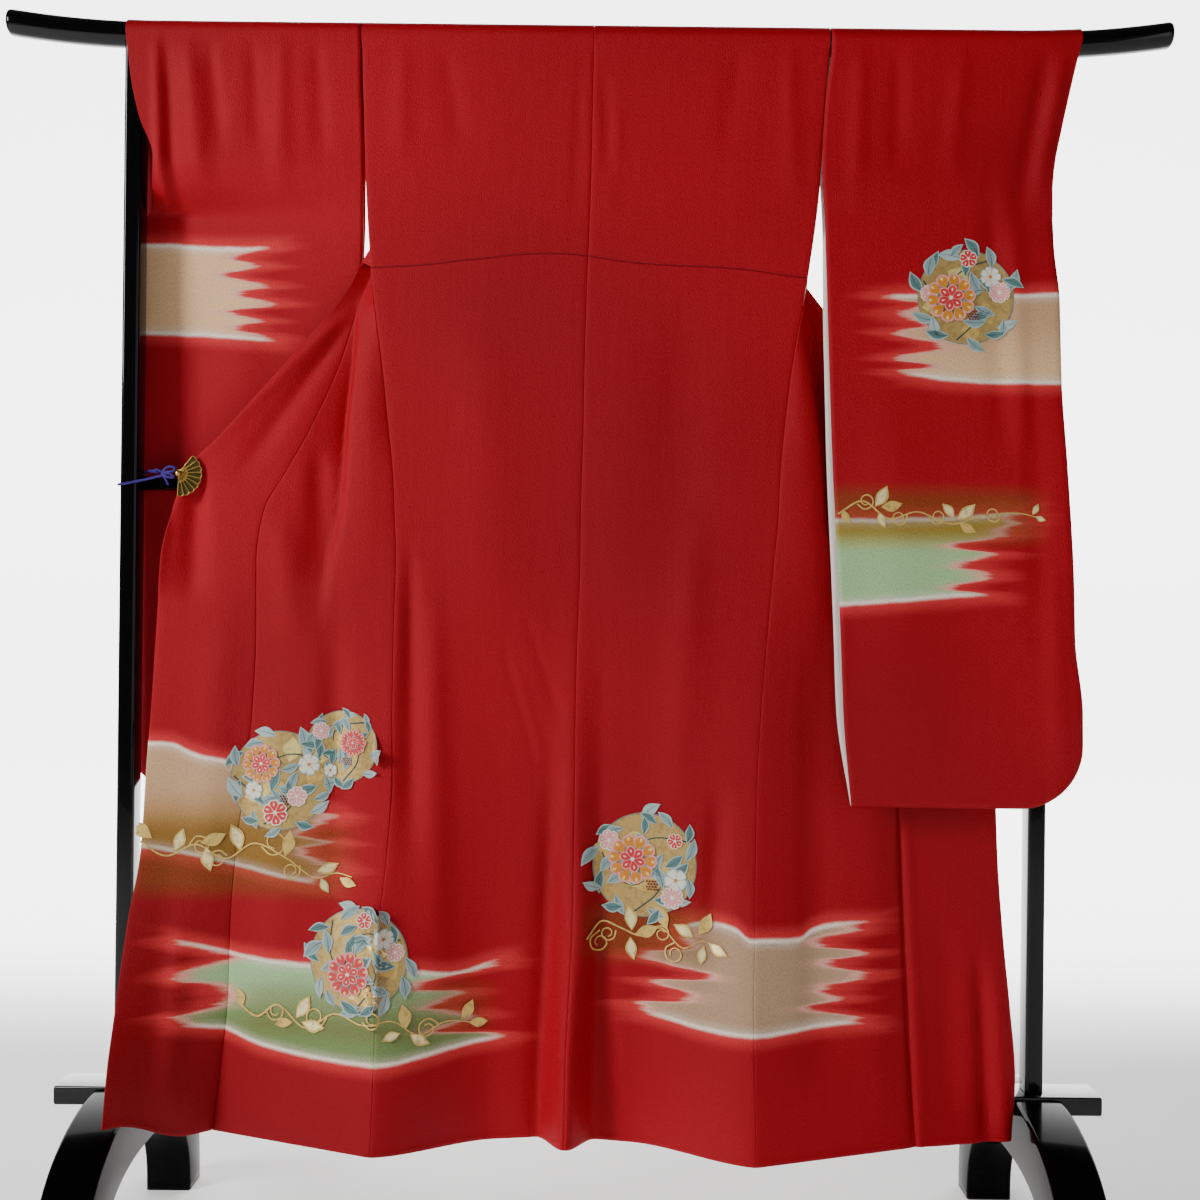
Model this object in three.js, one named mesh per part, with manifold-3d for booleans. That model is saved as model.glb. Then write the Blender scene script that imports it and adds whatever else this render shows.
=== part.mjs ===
// A furisode spread over a lacquered kimono stand, seen from its back.
// Millimetres, +Z up, +X to the right as seen from behind the garment, -Y towards the viewer.
// The origin is on the floor, midway between the stand's feet.
import * as THREE from "three";
import { mergeVertices } from "three/addons/utils/BufferGeometryUtils.js";
import Module from "manifold-3d";

const wasm = await Module();
wasm.setup();

// Stand
const BAR_HALF = 818; // half length of the top bar
const BAR_Z = 1712; // height of the top bar's centre line
const BAR_DEEP = 20; // half depth of the top bar
const BAR_HIGH = 18.5; // half height of the top bar
const BAR_BEND = 600; // where the ends begin to curve up
const BAR_RISE = 17; // how far the ends curve up
const POST_X = 637;
const POST_WIDE = 25;
const POST_DEEP = 40;
const RAIL_HALF = 728;
const RAIL_LOW = 216;
const RAIL_TOP = 242;
const RAIL_DEEP = 70;
const MID_RAIL_Z = 1082;
const MID_RAIL_R = 10;
const FOOT_X = 638;
const FOOT_WIDE = 68;
const FOOT_OUTER = { reach: 320, rise: 238 };
const FOOT_INNER = { reach: 250, rise: 155 };
const FOOT_POWER = 2.5; // an ellipse has 2; the foot's arch is a little squarer
const NOTCH_HIGH = 106; // the notch for the rail is open to the top
const GAP = 0.3; // between pieces that touch

// Cloth
const CLOTH = 1.6; // crepe and lining together
const WRAP_GAP = 0.5; // round the bar, where the cloth's faces cut the corners a little
const WRAP_DEEP = BAR_DEEP + WRAP_GAP + CLOTH / 2; // middle of the cloth round the bar
const WRAP_HIGH = BAR_HIGH + WRAP_GAP + CLOTH / 2;
const SEAM = GAP / 2; // each panel stops this far from a seam line
const HEM = 184;
const HEM_SOFT = 372; // below this height the rows bend to follow the hem
const ARMPIT = 1362; // the side seams end here and the slits begin
const SLIT_GAP = 0.6; // the side seam opens this far towards the slit
const TIP = 1390; // top of the okumi
const SHOULDER_TURN = 140; // degrees round the bar where back and front lengths meet
const COLLAR_WIDE = 55;
const WRIST = 1460; // lower end of the wrist opening
const SLEEVE_BOTTOM = { left: 643, right: 649 };
const SLEEVE_CORNER = 85; // radius of the sleeve's rounded corner
const EDGE_ROUND = 9; // a sleeve's two layers close together over this distance
const SLEEVE_PUFF = 3.5; // each layer of a sleeve swells this far from the line between them

const group = new THREE.Group();
const red = { color: 0xa81c20, roughness: 0.75, metalness: 0 };
const lacquer = { color: 0x0a0a0c, roughness: 0.12, metalness: 0 };
const gold = { color: 0xb9963f, roughness: 0.35, metalness: 1 };
const purple = { color: 0x2d146e, roughness: 0.6, metalness: 0 };

function add(name, geometry, look) {
  const mesh = new THREE.Mesh(geometry, new THREE.MeshStandardMaterial(look));
  mesh.name = name;
  group.add(mesh);
  return mesh;
}

// Rows of numbers under named columns, sorted from the lowest height up.
function table(columns, rows) {
  const sorted = rows.map((row) => row.slice()).sort((a, b) => a[0] - b[0]);
  const values = { z: sorted.map((row) => row[0]) };
  columns.forEach((name, i) => (values[name] = sorted.map((row) => row[i])));
  return values;
}

// A value of a table at a height: a smooth curve through the rows that never overshoots them.
function at(rows, name, z) {
  const zs = rows.z;
  const v = rows[name];
  const last = zs.length - 1;
  if (z <= zs[0]) return v[0];
  if (z >= zs[last]) return v[last];
  let i = 0;
  while (zs[i + 1] < z) i += 1;
  const slope = (j) => (v[j + 1] - v[j]) / (zs[j + 1] - zs[j]);
  const tangent = (j) => {
    if (j === 0) return slope(0);
    if (j === last) return slope(last - 1);
    const a = slope(j - 1);
    const b = slope(j);
    return a * b <= 0 ? 0 : (2 * a * b) / (a + b);
  };
  const span = zs[i + 1] - zs[i];
  const t = (z - zs[i]) / span;
  const m0 = tangent(i) * span;
  const m1 = tangent(i + 1) * span;
  const t2 = t * t;
  const t3 = t2 * t;
  return (
    v[i] * (2 * t3 - 3 * t2 + 1) + m0 * (t3 - 2 * t2 + t) + v[i + 1] * (3 * t2 - 2 * t3) + m1 * (t3 - t2)
  );
}

const mix = (a, b, t) => a + (b - a) * t;
const clamp = (v, low, high) => Math.min(high, Math.max(low, v));
function ease(from, to, v) {
  const t = clamp((v - from) / (to - from), 0, 1);
  return t * t * (3 - 2 * t);
}

// How far the bar, and the cloth on it, is lifted at x.
function rise(x) {
  const past = Math.max(0, Math.abs(x) - BAR_BEND) / (BAR_HALF - BAR_BEND);
  return BAR_RISE * past * past;
}

// The back: where the side seams and the centre seam run, how far each stands forward,
// and how deep the hollows between them are.
const BACK = table(
  ["z", "left", "centre", "right", "leftOut", "centreOut", "rightOut", "hollow"],
  [
    [BAR_Z, -319, 6, 336, WRAP_DEEP, WRAP_DEEP, WRAP_DEEP, 0],
    [1605, -314, 5, 328, 22, 22, 22, 0],
    [1507, -310, 4, 323, 24, 23, 24, 0],
    [ARMPIT, -299, 0, 305, 28, 26, 28, 0],
    [1265, -286, -2, 289, 28, 28, 28, 0],
    [1156, -273, -3, 276, 32, 30, 32, 0],
    [1097, -266, -4, 271, 36, 31, 36, 0],
    [1042, -263, -5, 269, 38, 32, 38, 0],
    [976, -260, -5, 263, 40, 34, 40, 0],
    [865, -262, -8, 254, 44, 38, 46, 2],
    [780, -262, -9, 247, 50, 42, 54, 6],
    [670, -260, -9, 241, 60, 48, 66, 12],
    [575, -264, -9, 239, 72, 56, 80, 18],
    [467, -272, -10, 237, 90, 68, 104, 30],
    [372, -272, -14, 234, 110, 82, 128, 41],
    [280, -272, -17, 235, 130, 96, 150, 52],
    [HEM, -273, -17, 236, 146, 107, 169, 63],
  ],
);
// The side edges of the fronts above the armpits, where the slits are. Y is away from the viewer.
const SLIT = table(
  ["z", "left", "right", "y"],
  [
    [BAR_Z, -319, 336, WRAP_DEEP],
    [1690, -318, 334, 22],
    [1640, -316, 331, 24],
    [1545, -312, 325, 22],
    [1490, -309, 322, 12],
    [1450, -306, 317, 0],
    [1400, -302, 310, -20],
    [ARMPIT, -299, 305, -28],
  ],
);
// The fronts: places of the okumi seam and the front edge, the swell of the cloth between
// side and edge, and the place and depth of the deep pleat beside the side seam.
const FRONT_COLUMNS = ["z", "seamX", "seamY", "edgeX", "edgeY", "swell", "pleatX", "pleat"];
const FRONT_LEFT = table(FRONT_COLUMNS, [
  [BAR_Z, -87, WRAP_DEEP, -88, WRAP_DEEP, 0, -326, 0],
  [1690, -103, 22.5, -104, 22.5, 0, -326, 0],
  [1640, -139, 24, -140, 24, 2, -326, 0],
  [1545, -204, 18, -205, 18, 5, -326, 0],
  [1490, -239, 12, -240, 12, 8, -326, 0],
  [1450, -280, 6, -283, 6, 11, -326, 0],
  [1400, -306, -1, -316, 0, 15, -324, 0],
  [ARMPIT, -318, -8, -333, -6, 13, -320, 0],
  [1265, -342, -20, -409, -17, 4, -323, 18],
  [1156, -386, -30, -501, -27, 0, -331, 28],
  [1097, -417, -33, -555, -31, 0, -333, 20],
  [1042, -446, -34, -573, -32, 0, -337, 18],
  [976, -455, -34, -587, -32, 0, -352, 11],
  [865, -454, -33, -593, -34, 0, -360, 0],
  [780, -457, -34, -597, -36, 0, -360, 0],
  [670, -466, -36, -603, -42, 0, -360, 0],
  [575, -477, -38, -605, -55, 0, -360, 0],
  [467, -484, -40, -618, -76, 0, -360, 0],
  [HEM_SOFT, -485, -44, -622, -110, 0, -360, 0],
  [280, -492, -50, -621, -150, 0, -360, 0],
  [HEM, -501, -60, -620, -176, 0, -360, 0],
]);
const FRONT_RIGHT = table(FRONT_COLUMNS, [
  [BAR_Z, 99, WRAP_DEEP, 100, WRAP_DEEP, 0, 312, 0],
  [1690, 115, 22.5, 116, 22.5, 0, 312, 0],
  [1640, 151, 24, 152, 24, 2, 312, 0],
  [1545, 210, 18, 211, 18, 5, 312, 0],
  [1490, 239, 12, 240, 12, 8, 312, 0],
  [1450, 261, 6, 262, 6, 11, 312, 0],
  [1400, 281, -1, 286, 0, 15, 312, 0],
  [ARMPIT, 301, -8, 312, -6, 13, 306, 0],
  [1265, 334, -20, 392, -17, 4, 314, 18],
  [1156, 393, -30, 497, -27, 0, 330, 26],
  [1097, 411, -33, 553, -31, 0, 336, 20],
  [1042, 424, -34, 557, -32, 0, 340, 18],
  [976, 429, -34, 559, -32, 0, 352, 11],
  [865, 432, -34, 563, -34, 0, 358, 0],
  [780, 433, -38, 567, -36, 0, 358, 0],
  [670, 436, -44, 573, -40, 0, 358, 0],
  [575, 440, -52, 576, -46, 0, 358, 0],
  [467, 442, -66, 583, -54, 0, 358, 0],
  [HEM_SOFT, 444, -80, 591, -64, 0, 358, 0],
  [280, 449, -96, 596, -76, 0, 358, 0],
  [HEM, 456, -110, 589, -85, 0, 358, 0],
]);
const HEM_HEIGHT = { leftSeam: 192, leftEdge: 225, rightSeam: 195, rightEdge: 197 };

// The sleeves: near is the layer towards the viewer, far the one behind it. Above the
// wrist opening's lower end the two outer edges are apart, and below it they are one.
const SLEEVE_COLUMNS = [
  "z", "nearInX", "nearInY", "nearOutX", "nearOutY", "farInX", "farInY", "farOutX", "farOutY",
];
const SLEEVE_LEFT = table(SLEEVE_COLUMNS, [
  [BAR_Z, -320, -WRAP_DEEP, -648, -WRAP_DEEP, -320, WRAP_DEEP, -650, WRAP_DEEP],
  [1690, -319, -22, -645, -23, -320, 23, -650, 24],
  [1640, -318, -22, -638, -24, -319, 25, -650, 27],
  [1590, -316, -20, -626, -25, -318, 27, -649, 30],
  [1535, -315, -15, -606, -25, -318, 29, -646, 33],
  [1500, -315, -8, -611, -8, -318, 30, -644, 33],
  [1480, -316, -2, -614, 13, -318, 31, -642, 33],
  [1468, -316, 0, -620, 27, -318, 31, -640, 33],
  [WRIST, -316, 2, -637, 32, -318, 32, -637, 32],
  [1400, -318, 14, -641, 33, -320, 34, -641, 33],
  [1300, -321, 22, -646, 34, -323, 36, -646, 34],
  [1150, -324, 26, -650, 36, -326, 40, -650, 36],
  [950, -328, 28, -651, 38, -330, 44, -651, 38],
  [750, -332, 30, -652, 39, -334, 46, -652, 39],
  [SLEEVE_BOTTOM.left, -336, 38, -652, 39, -336, 38, -652, 39],
]);
const SLEEVE_RIGHT = table(SLEEVE_COLUMNS, [
  [BAR_Z, 338, -WRAP_DEEP, 688, -WRAP_DEEP, 338, WRAP_DEEP, 688, WRAP_DEEP],
  [1690, 337, -22, 682, -22, 337, 23, 684, 23],
  [1640, 331, -23, 670, -24, 334, 25, 668, 28],
  [1585, 327, -25, 658, -25, 328, 25, 642, 29],
  [1535, 325, -27, 648, -27, 327, 16, 614, 27],
  [1500, 326, -29, 645, -29, 328, 3, 606, 6],
  [1475, 328, -30, 645, -30, 328, -8, 613, -18],
  [WRIST, 329, -31, 645, -31, 328, -14, 645, -31],
  [1418, 330, -35, 647, -34, 328, -25, 647, -34],
  [1347, 332, -43, 654, -40, 328, -33, 654, -40],
  [1235, 335, -54, 655, -51, 330, -44, 655, -51],
  [1110, 339, -66, 662, -62, 333, -55, 662, -62],
  [955, 347, -78, 669, -74, 340, -67, 669, -74],
  [878, 350, -84, 670, -79, 343, -72, 670, -79],
  [776, 354, -90, 680, -85, 347, -78, 680, -85],
  [SLEEVE_BOTTOM.right, 366, -90, 680, -91, 366, -90, 680, -91],
]);

// Heights of the cloth's rows. The last rows of each piece go round the bar.
const ROWS_LOW = [HEM, 205, 235, 275, 325, HEM_SOFT, 467, 575, 670, 780, 865, 930, 990];
const ROWS_MID = [1042, 1097, 1156, 1210, 1265, 1310, ARMPIT];
const ROWS_HIGH = [1382, 1400, 1425, 1450, 1490, 1545, 1590, 1640, 1690, BAR_Z];
const BACK_HIGH = [1440, 1507, 1605, 1670, BAR_Z];

// A thin closed solid on a grid of points: each point goes half the thickness to both
// sides along its normal, and the open edges get a rim. Quads may share points. Where the
// normals of two layers that meet cancel out, fold is the direction out of the fold.
function shell(points, quads, normals, thickness, fold = [0, 0, 1]) {
  const half = thickness / 2;
  const position = [];
  const order = [];
  const seen = new Map();
  const pointOf = new Map();
  points.forEach((p, i) => {
    const key = p.map((v) => Math.round(v * 500)).join();
    if (!seen.has(key)) {
      seen.set(key, order.length);
      order.push({ p, n: [0, 0, 0] });
    }
    pointOf.set(i, seen.get(key));
    const n = order[seen.get(key)].n;
    for (let k = 0; k < 3; k += 1) n[k] += normals[i][k];
  });
  for (const side of [half, -half]) {
    for (const { p, n } of order) {
      const out = Math.hypot(...n) > 0.1 ? n : fold;
      const size = Math.hypot(...out);
      position.push(...p.map((v, k) => v + (side * out[k]) / size));
    }
  }
  const count = order.length;
  const index = [];
  const edges = new Map();
  for (const quad of quads) {
    const [a, b, c, d] = quad.map((i) => pointOf.get(i));
    const corners = [a, b, c, d].filter((v, i, all) => v !== all[(i + 1) % 4]);
    for (let i = 1; i + 1 < corners.length; i += 1) {
      index.push(corners[0], corners[i], corners[i + 1]);
      index.push(corners[0] + count, corners[i + 1] + count, corners[i] + count);
    }
    corners.forEach((v, i) => {
      const w = corners[(i + 1) % corners.length];
      const back = `${w},${v}`;
      if (edges.has(back)) edges.delete(back);
      else edges.set(`${v},${w}`, [v, w]);
    });
  }
  for (const [v, w] of edges.values()) index.push(v, v + count, w + count, v, w + count, w);
  const geometry = new THREE.BufferGeometry();
  geometry.setAttribute("position", new THREE.Float32BufferAttribute(position, 3));
  geometry.setIndex(index);
  return geometry;
}

// Normals of a grid of points, from its neighbours along rows and columns.
function gridNormals(grid, flip) {
  const rows = grid.length;
  const columns = grid[0].length;
  const difference = (a, b) => a.map((v, k) => b[k] - v);
  return grid.map((row, i) =>
    row.map((_, j) => {
      const along = difference(row[Math.max(0, j - 1)], row[Math.min(columns - 1, j + 1)]);
      const up = difference(grid[Math.max(0, i - 1)][j], grid[Math.min(rows - 1, i + 1)][j]);
      const n = [
        along[1] * up[2] - along[2] * up[1],
        along[2] * up[0] - along[0] * up[2],
        along[0] * up[1] - along[1] * up[0],
      ];
      const size = Math.hypot(...n) * (flip ? -1 : 1);
      return n.map((v) => v / size);
    }),
  );
}

// A cloth panel from a grid of points and normals, from column first to column last,
// whose end columns are drawn in from the seams.
function panel(name, grid, normals, look = red, thickness = CLOTH) {
  const columns = grid[0].length;
  const points = [];
  const flat = [];
  grid.forEach((row, i) => {
    const drawn = row.map((p) => p.slice());
    const draw = (j, inner) => {
      const step = drawn[inner].map((v, k) => v - drawn[j][k]);
      const size = Math.hypot(...step) || 1;
      drawn[j] = drawn[j].map((v, k) => v + (step[k] * SEAM) / size);
    };
    draw(0, 1);
    draw(columns - 1, columns - 2);
    points.push(...drawn);
    flat.push(...normals[i]);
  });
  const quads = [];
  for (let i = 0; i + 1 < grid.length; i += 1) {
    for (let j = 0; j + 1 < columns; j += 1) {
      const a = i * columns + j;
      quads.push([a, a + 1, a + columns + 1, a + columns]);
    }
  }
  return add(name, shell(points, quads, flat, thickness), look);
}

// Point of the back at q (-1 left side seam, 0 centre seam, 1 right side seam) and height z.
// Between the seams the cloth sinks back into a hollow that is steepest beside the centre.
function backPoint(q, z) {
  const side = q < 0 ? "left" : "right";
  const t = Math.abs(q);
  const x = mix(at(BACK, "centre", z), at(BACK, side, z), t);
  const out = mix(at(BACK, "centreOut", z), at(BACK, side + "Out", z), t);
  const sink = ease(0, 0.16, t) * (1 - ease(0.36, 1, t)) * at(BACK, "hollow", z);
  return [x, sink - out, z];
}

// The same past the bar's height: round the bar by an angle in degrees.
function wrapPoint(x, angle) {
  const a = THREE.MathUtils.degToRad(angle);
  return [x, -WRAP_DEEP * Math.cos(a), BAR_Z + WRAP_HIGH * Math.sin(a)];
}

// A height bent to the hem's own height at this place.
function toHem(z, hem) {
  if (z >= HEM_SOFT) return z;
  return mix(hem, HEM_SOFT, (z - HEM) / (HEM_SOFT - HEM));
}

const lift = ([x, y, z]) => [x, y, z + rise(x) * ease(1500, 1690, z)];

// Point of a front at t (0 side edge, 1 okumi seam, 2 front edge) and height z. The cloth
// swells to the hidden side of the line from side to edge, and falls back behind the pleat.
function frontPoint(rows, t, z) {
  const part = (name) => at(rows, name, z);
  const name = rows === FRONT_LEFT ? "left" : "right";
  const side =
    z > ARMPIT
      ? [at(SLIT, name, z), at(SLIT, "y", z)]
      : [at(BACK, name, z), -at(BACK, name + "Out", z)];
  const outward = name === "left" ? -1 : 1;
  side[0] += outward * SLIT_GAP * ease(1240, 1310, z);
  const seam = [part("seamX"), part("seamY")];
  const edge = [part("edgeX"), part("edgeY")];
  const [from, to, s] = t <= 1 ? [side, seam, t] : [seam, edge, t - 1];
  let x = mix(from[0], to[0], s);
  let y = mix(from[1], to[1], s);
  const line = [edge[0] - side[0], edge[1] - side[1]];
  const size = Math.hypot(...line);
  const share = mix(0.62, 1, ease(ARMPIT, 1450, z));
  const whole = t <= 1 ? t * share : mix(share, 1, s);
  const swell = part("swell") * Math.sin(Math.PI * whole);
  x += (swell * -outward * line[1]) / size;
  y += (swell * outward * line[0]) / size;
  const past = (x - part("pleatX")) * outward;
  const depth = part("pleat");
  y += depth * ease(-4, 6, past) * Math.exp(-Math.max(0, past) / 50);
  const strip = (x - side[0]) / (part("pleatX") - side[0]);
  y -= 0.2 * depth * Math.sin(Math.PI * clamp(strip, 0, 1));
  const seamHem = HEM_HEIGHT[name + "Seam"];
  const edgeHem = HEM_HEIGHT[name + "Edge"];
  const hem = t <= 1 ? mix(HEM, seamHem, t) : mix(seamHem, edgeHem, ease(0.2, 0.9, t - 1));
  return [x, y, toHem(z, hem)];
}

const spread = (from, to, count) =>
  Array.from({ length: count + 1 }, (_, i) => mix(from, to, i / count));

// Back
const BACK_ROWS = [...ROWS_LOW, ...ROWS_MID, ...BACK_HIGH];
const BACK_TURNS = [18, 36, 54, 72, 90, 108, 124, SHOULDER_TURN - 0.5];
const BACK_COLUMNS = [-1, -0.9, -0.78, -0.64, -0.5, -0.36, -0.25, -0.16, -0.1, -0.05, 0];
const backColumns = [...BACK_COLUMNS, ...BACK_COLUMNS.slice(0, -1).reverse().map((q) => -q)];
const backGrid = BACK_ROWS.map((z) => backColumns.map((q) => backPoint(q, z)));
for (const turn of BACK_TURNS) {
  backGrid.push(backColumns.map((q) => wrapPoint(backPoint(q, BAR_Z)[0], turn)));
}
const backNormals = gridNormals(backGrid, false);

// Fronts, with the okumi as the last columns of the same grid
const FRONT_TURNS = [SHOULDER_TURN + 0.5, 152, 166];
const FRONT_SPLIT = 13;
const OKUMI_SPLIT = 5;
const FRONT_ROWS = [...ROWS_LOW, ...ROWS_MID, ...ROWS_HIGH];
const frontSpots = [
  ...spread(0, 1, FRONT_SPLIT),
  ...spread(1, 2, OKUMI_SPLIT).slice(1),
];
const neckReach = { [SHOULDER_TURN + 0.5]: 12, 152: 8, 166: 4 };

function frontGrid(rows) {
  const grid = FRONT_ROWS.map((z) => frontSpots.map((t) => frontPoint(rows, t, z)));
  for (const turn of FRONT_TURNS.slice().reverse()) {
    const sideX = at(SLIT, rows === FRONT_LEFT ? "left" : "right", BAR_Z);
    const edgeX = at(rows, "edgeX", BAR_Z);
    const seamX = at(rows, "seamX", BAR_Z);
    const reach = neckReach[turn] * Math.sign(sideX - edgeX);
    grid.push(
      frontSpots.map((t) => {
        const base = t <= 1 ? mix(sideX, seamX, t) : mix(seamX, edgeX, t - 1);
        return wrapPoint(base - reach * clamp(t, 0, 1) ** 3, turn);
      }),
    );
  }
  return grid;
}

// Both panels take the mean of their normals along a shared seam, so their rims are parallel.
function shareNormals(a, b) {
  const sum = a.map((v, k) => v + b[k]);
  const size = Math.hypot(...sum);
  return sum.map((v) => v / size);
}

const seamRows = ROWS_LOW.length + ROWS_MID.length;
for (const [side, rows, outerColumn] of [
  ["left", FRONT_LEFT, 0],
  ["right", FRONT_RIGHT, backColumns.length - 1],
]) {
  const grid = frontGrid(rows);
  const normals = gridNormals(grid, side === "left");
  for (let i = 0; i < seamRows; i += 1) {
    const shared = shareNormals(normals[i][0], backNormals[i][outerColumn]);
    normals[i][0] = shared;
    backNormals[i][outerColumn] = shared;
  }
  const last = FRONT_SPLIT;
  // Above the okumi's tip the front itself runs to the collar.
  const front = grid.map((row, i) => {
    const above = i >= FRONT_ROWS.length || FRONT_ROWS[i] > TIP;
    const cut = row.slice(0, last + 1);
    if (above) {
      cut[last] = row[row.length - 1];
      normals[i][last] = normals[i][row.length - 1];
    }
    return cut.map(lift);
  });
  const okumiRows = FRONT_ROWS.filter((z) => z < TIP).length;
  const okumi = grid.slice(0, okumiRows).map((row) => row.slice(last));
  const turnRound = (rowsOf) => rowsOf.map((row) => row.slice().reverse());
  const mirrored = side === "left" ? turnRound : (rowsOf) => rowsOf;
  panel("front_" + side, mirrored(front), mirrored(normals.map((row) => row.slice(0, last + 1))));
  const okumiNormals = normals.slice(0, okumiRows).map((row) => row.slice(last));
  panel("okumi_" + side, mirrored(okumi), mirrored(okumiNormals));
}
const middle = BACK_COLUMNS.length - 1;
const liftedBack = backGrid.map((row) => row.map(lift));
const cutColumns = (rowsOf, from, to) => rowsOf.map((row) => row.slice(from, to));
panel("back_left", cutColumns(liftedBack, 0, middle + 1), cutColumns(backNormals, 0, middle + 1));
panel("back_right", cutColumns(liftedBack, middle), cutColumns(backNormals, middle));

// Collar: a band along the front edges and over the neck. It hangs from its seam line
// towards the inside of that line's bend, and stands clear behind the gathered cloth.
const COLLAR_STEPS = 54;
const COLLAR_ACROSS = 5;
const COLLAR_THICK = 2.4;
const COLLAR_BEHIND = 3.2; // its middle lies this far behind the front's middle
const COLLAR_STEEP = 4; // and this much more behind the steep folds below the armpit
const COLLAR_OUT = 1.8; // round the bar its middle stands this much further out than the front's
const COLLAR_HEIGHTS = [1097, 1125, 1156, 1210, 1265, 1310, ARMPIT, 1400, 1450, 1545, 1640, 1690];
const collarLine = (rows) =>
  COLLAR_HEIGHTS.map((z) => {
    const [x, y] = frontPoint(rows, 2, z);
    return new THREE.Vector3(x, y + COLLAR_BEHIND, z);
  });
const neckLine = [
  new THREE.Vector3(-70, 20.6, 1720.5),
  new THREE.Vector3(6, 19, 1724.5),
  new THREE.Vector3(82, 20.6, 1720.5),
];
const collarCurve = new THREE.CatmullRomCurve3(
  [...collarLine(FRONT_LEFT), ...neckLine, ...collarLine(FRONT_RIGHT).reverse()],
  false,
  "centripetal",
);

// How far a point of the collar must stand back to clear the bar, at height z.
function farOfBar(z) {
  const high = Math.max(0, z - BAR_Z) / (WRAP_HIGH + COLLAR_OUT);
  return (WRAP_DEEP + COLLAR_OUT) * Math.sqrt(Math.max(0, 1 - high * high));
}

// How far back a front reaches at x and height z, or nothing where it has no cloth.
function frontDepth(rows, x, z) {
  let deepest = -Infinity;
  const spots = spread(0, 2, 40).map((t) => frontPoint(rows, t, z));
  spots.slice(1).forEach((b, i) => {
    const a = spots[i];
    if ((a[0] - x) * (b[0] - x) > 0 || a[0] === b[0]) return;
    deepest = Math.max(deepest, mix(a[1], b[1], (x - a[0]) / (b[0] - a[0])));
  });
  return deepest;
}
const collarGrid = [];
for (let i = 0; i <= COLLAR_STEPS; i += 1) {
  const p = collarCurve.getPointAt(i / COLLAR_STEPS);
  const d = collarCurve.getTangentAt(i / COLLAR_STEPS);
  const flat = Math.hypot(d.x, d.z);
  const inward = [d.z / flat, -d.x / flat];
  collarGrid.push(
    spread(0, 1, COLLAR_ACROSS).map((w) => {
      const x = p.x + inward[0] * COLLAR_WIDE * w;
      const z = p.z + inward[1] * COLLAR_WIDE * w;
      const bunch = 14 * ease(1230, 1360, p.z) * (1 - ease(1420, 1600, p.z)) * ease(0, 0.6, w);
      const front = p.x < 6 ? FRONT_LEFT : FRONT_RIGHT;
      const steep = COLLAR_STEEP * ease(1120, 1200, z) * (1 - ease(1380, 1420, z));
      const y = Math.max(p.y + bunch, frontDepth(front, x, z) + COLLAR_BEHIND + steep);
      return [x, mix(y, Math.max(y, farOfBar(z)), ease(1560, 1640, p.z)), z];
    }),
  );
}
panel("collar", collarGrid, gridNormals(collarGrid, false), red, COLLAR_THICK);

// Sleeves
const SLEEVE_TURNS = [18, 36, 54, 72, 90];
function sleeveGrid(rows, bottom) {
  const heights = rows.z.filter((z) => z > bottom + 1);
  const extra = [bottom, bottom + 1.2, bottom + 4, bottom + EDGE_ROUND, bottom + 28, bottom + 60];
  return [...extra, ...heights].sort((a, b) => a - b);
}

// Point of a sleeve's near or far layer at u (0 inner edge, 1 outer edge) and height z.
function sleevePoint(rows, layer, u, z, bottom) {
  const part = (name) => at(rows, layer + name, z);
  const other = layer === "near" ? "far" : "near";
  const outward = Math.sign(rows.nearOutX[0] - rows.nearInX[0]);
  const inX = part("InX");
  let outX = part("OutX");
  const over = z - bottom;
  if (over < SLEEVE_CORNER) {
    const drop = SLEEVE_CORNER - over;
    outX -= outward * (SLEEVE_CORNER - Math.sqrt(SLEEVE_CORNER ** 2 - drop ** 2));
  }
  const x = mix(inX, outX, u);
  const y = mix(part("InY"), part("OutY"), u);
  const otherY = mix(at(rows, other + "InY", z), at(rows, other + "OutY", z), u);
  const middleY = (y + otherY) / 2;
  const round = (d) => Math.sqrt(1 - (1 - clamp(d / EDGE_ROUND, 0, 1)) ** 2);
  const fromSide = z > WRIST ? EDGE_ROUND : Math.abs(outX - x);
  const open = round(fromSide) * round(over);
  const puff = SLEEVE_PUFF * (layer === "near" ? -1 : 1) * (1 - ease(1480, 1600, z));
  return [x, mix(middleY, y, open) + open * puff, z];
}

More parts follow.
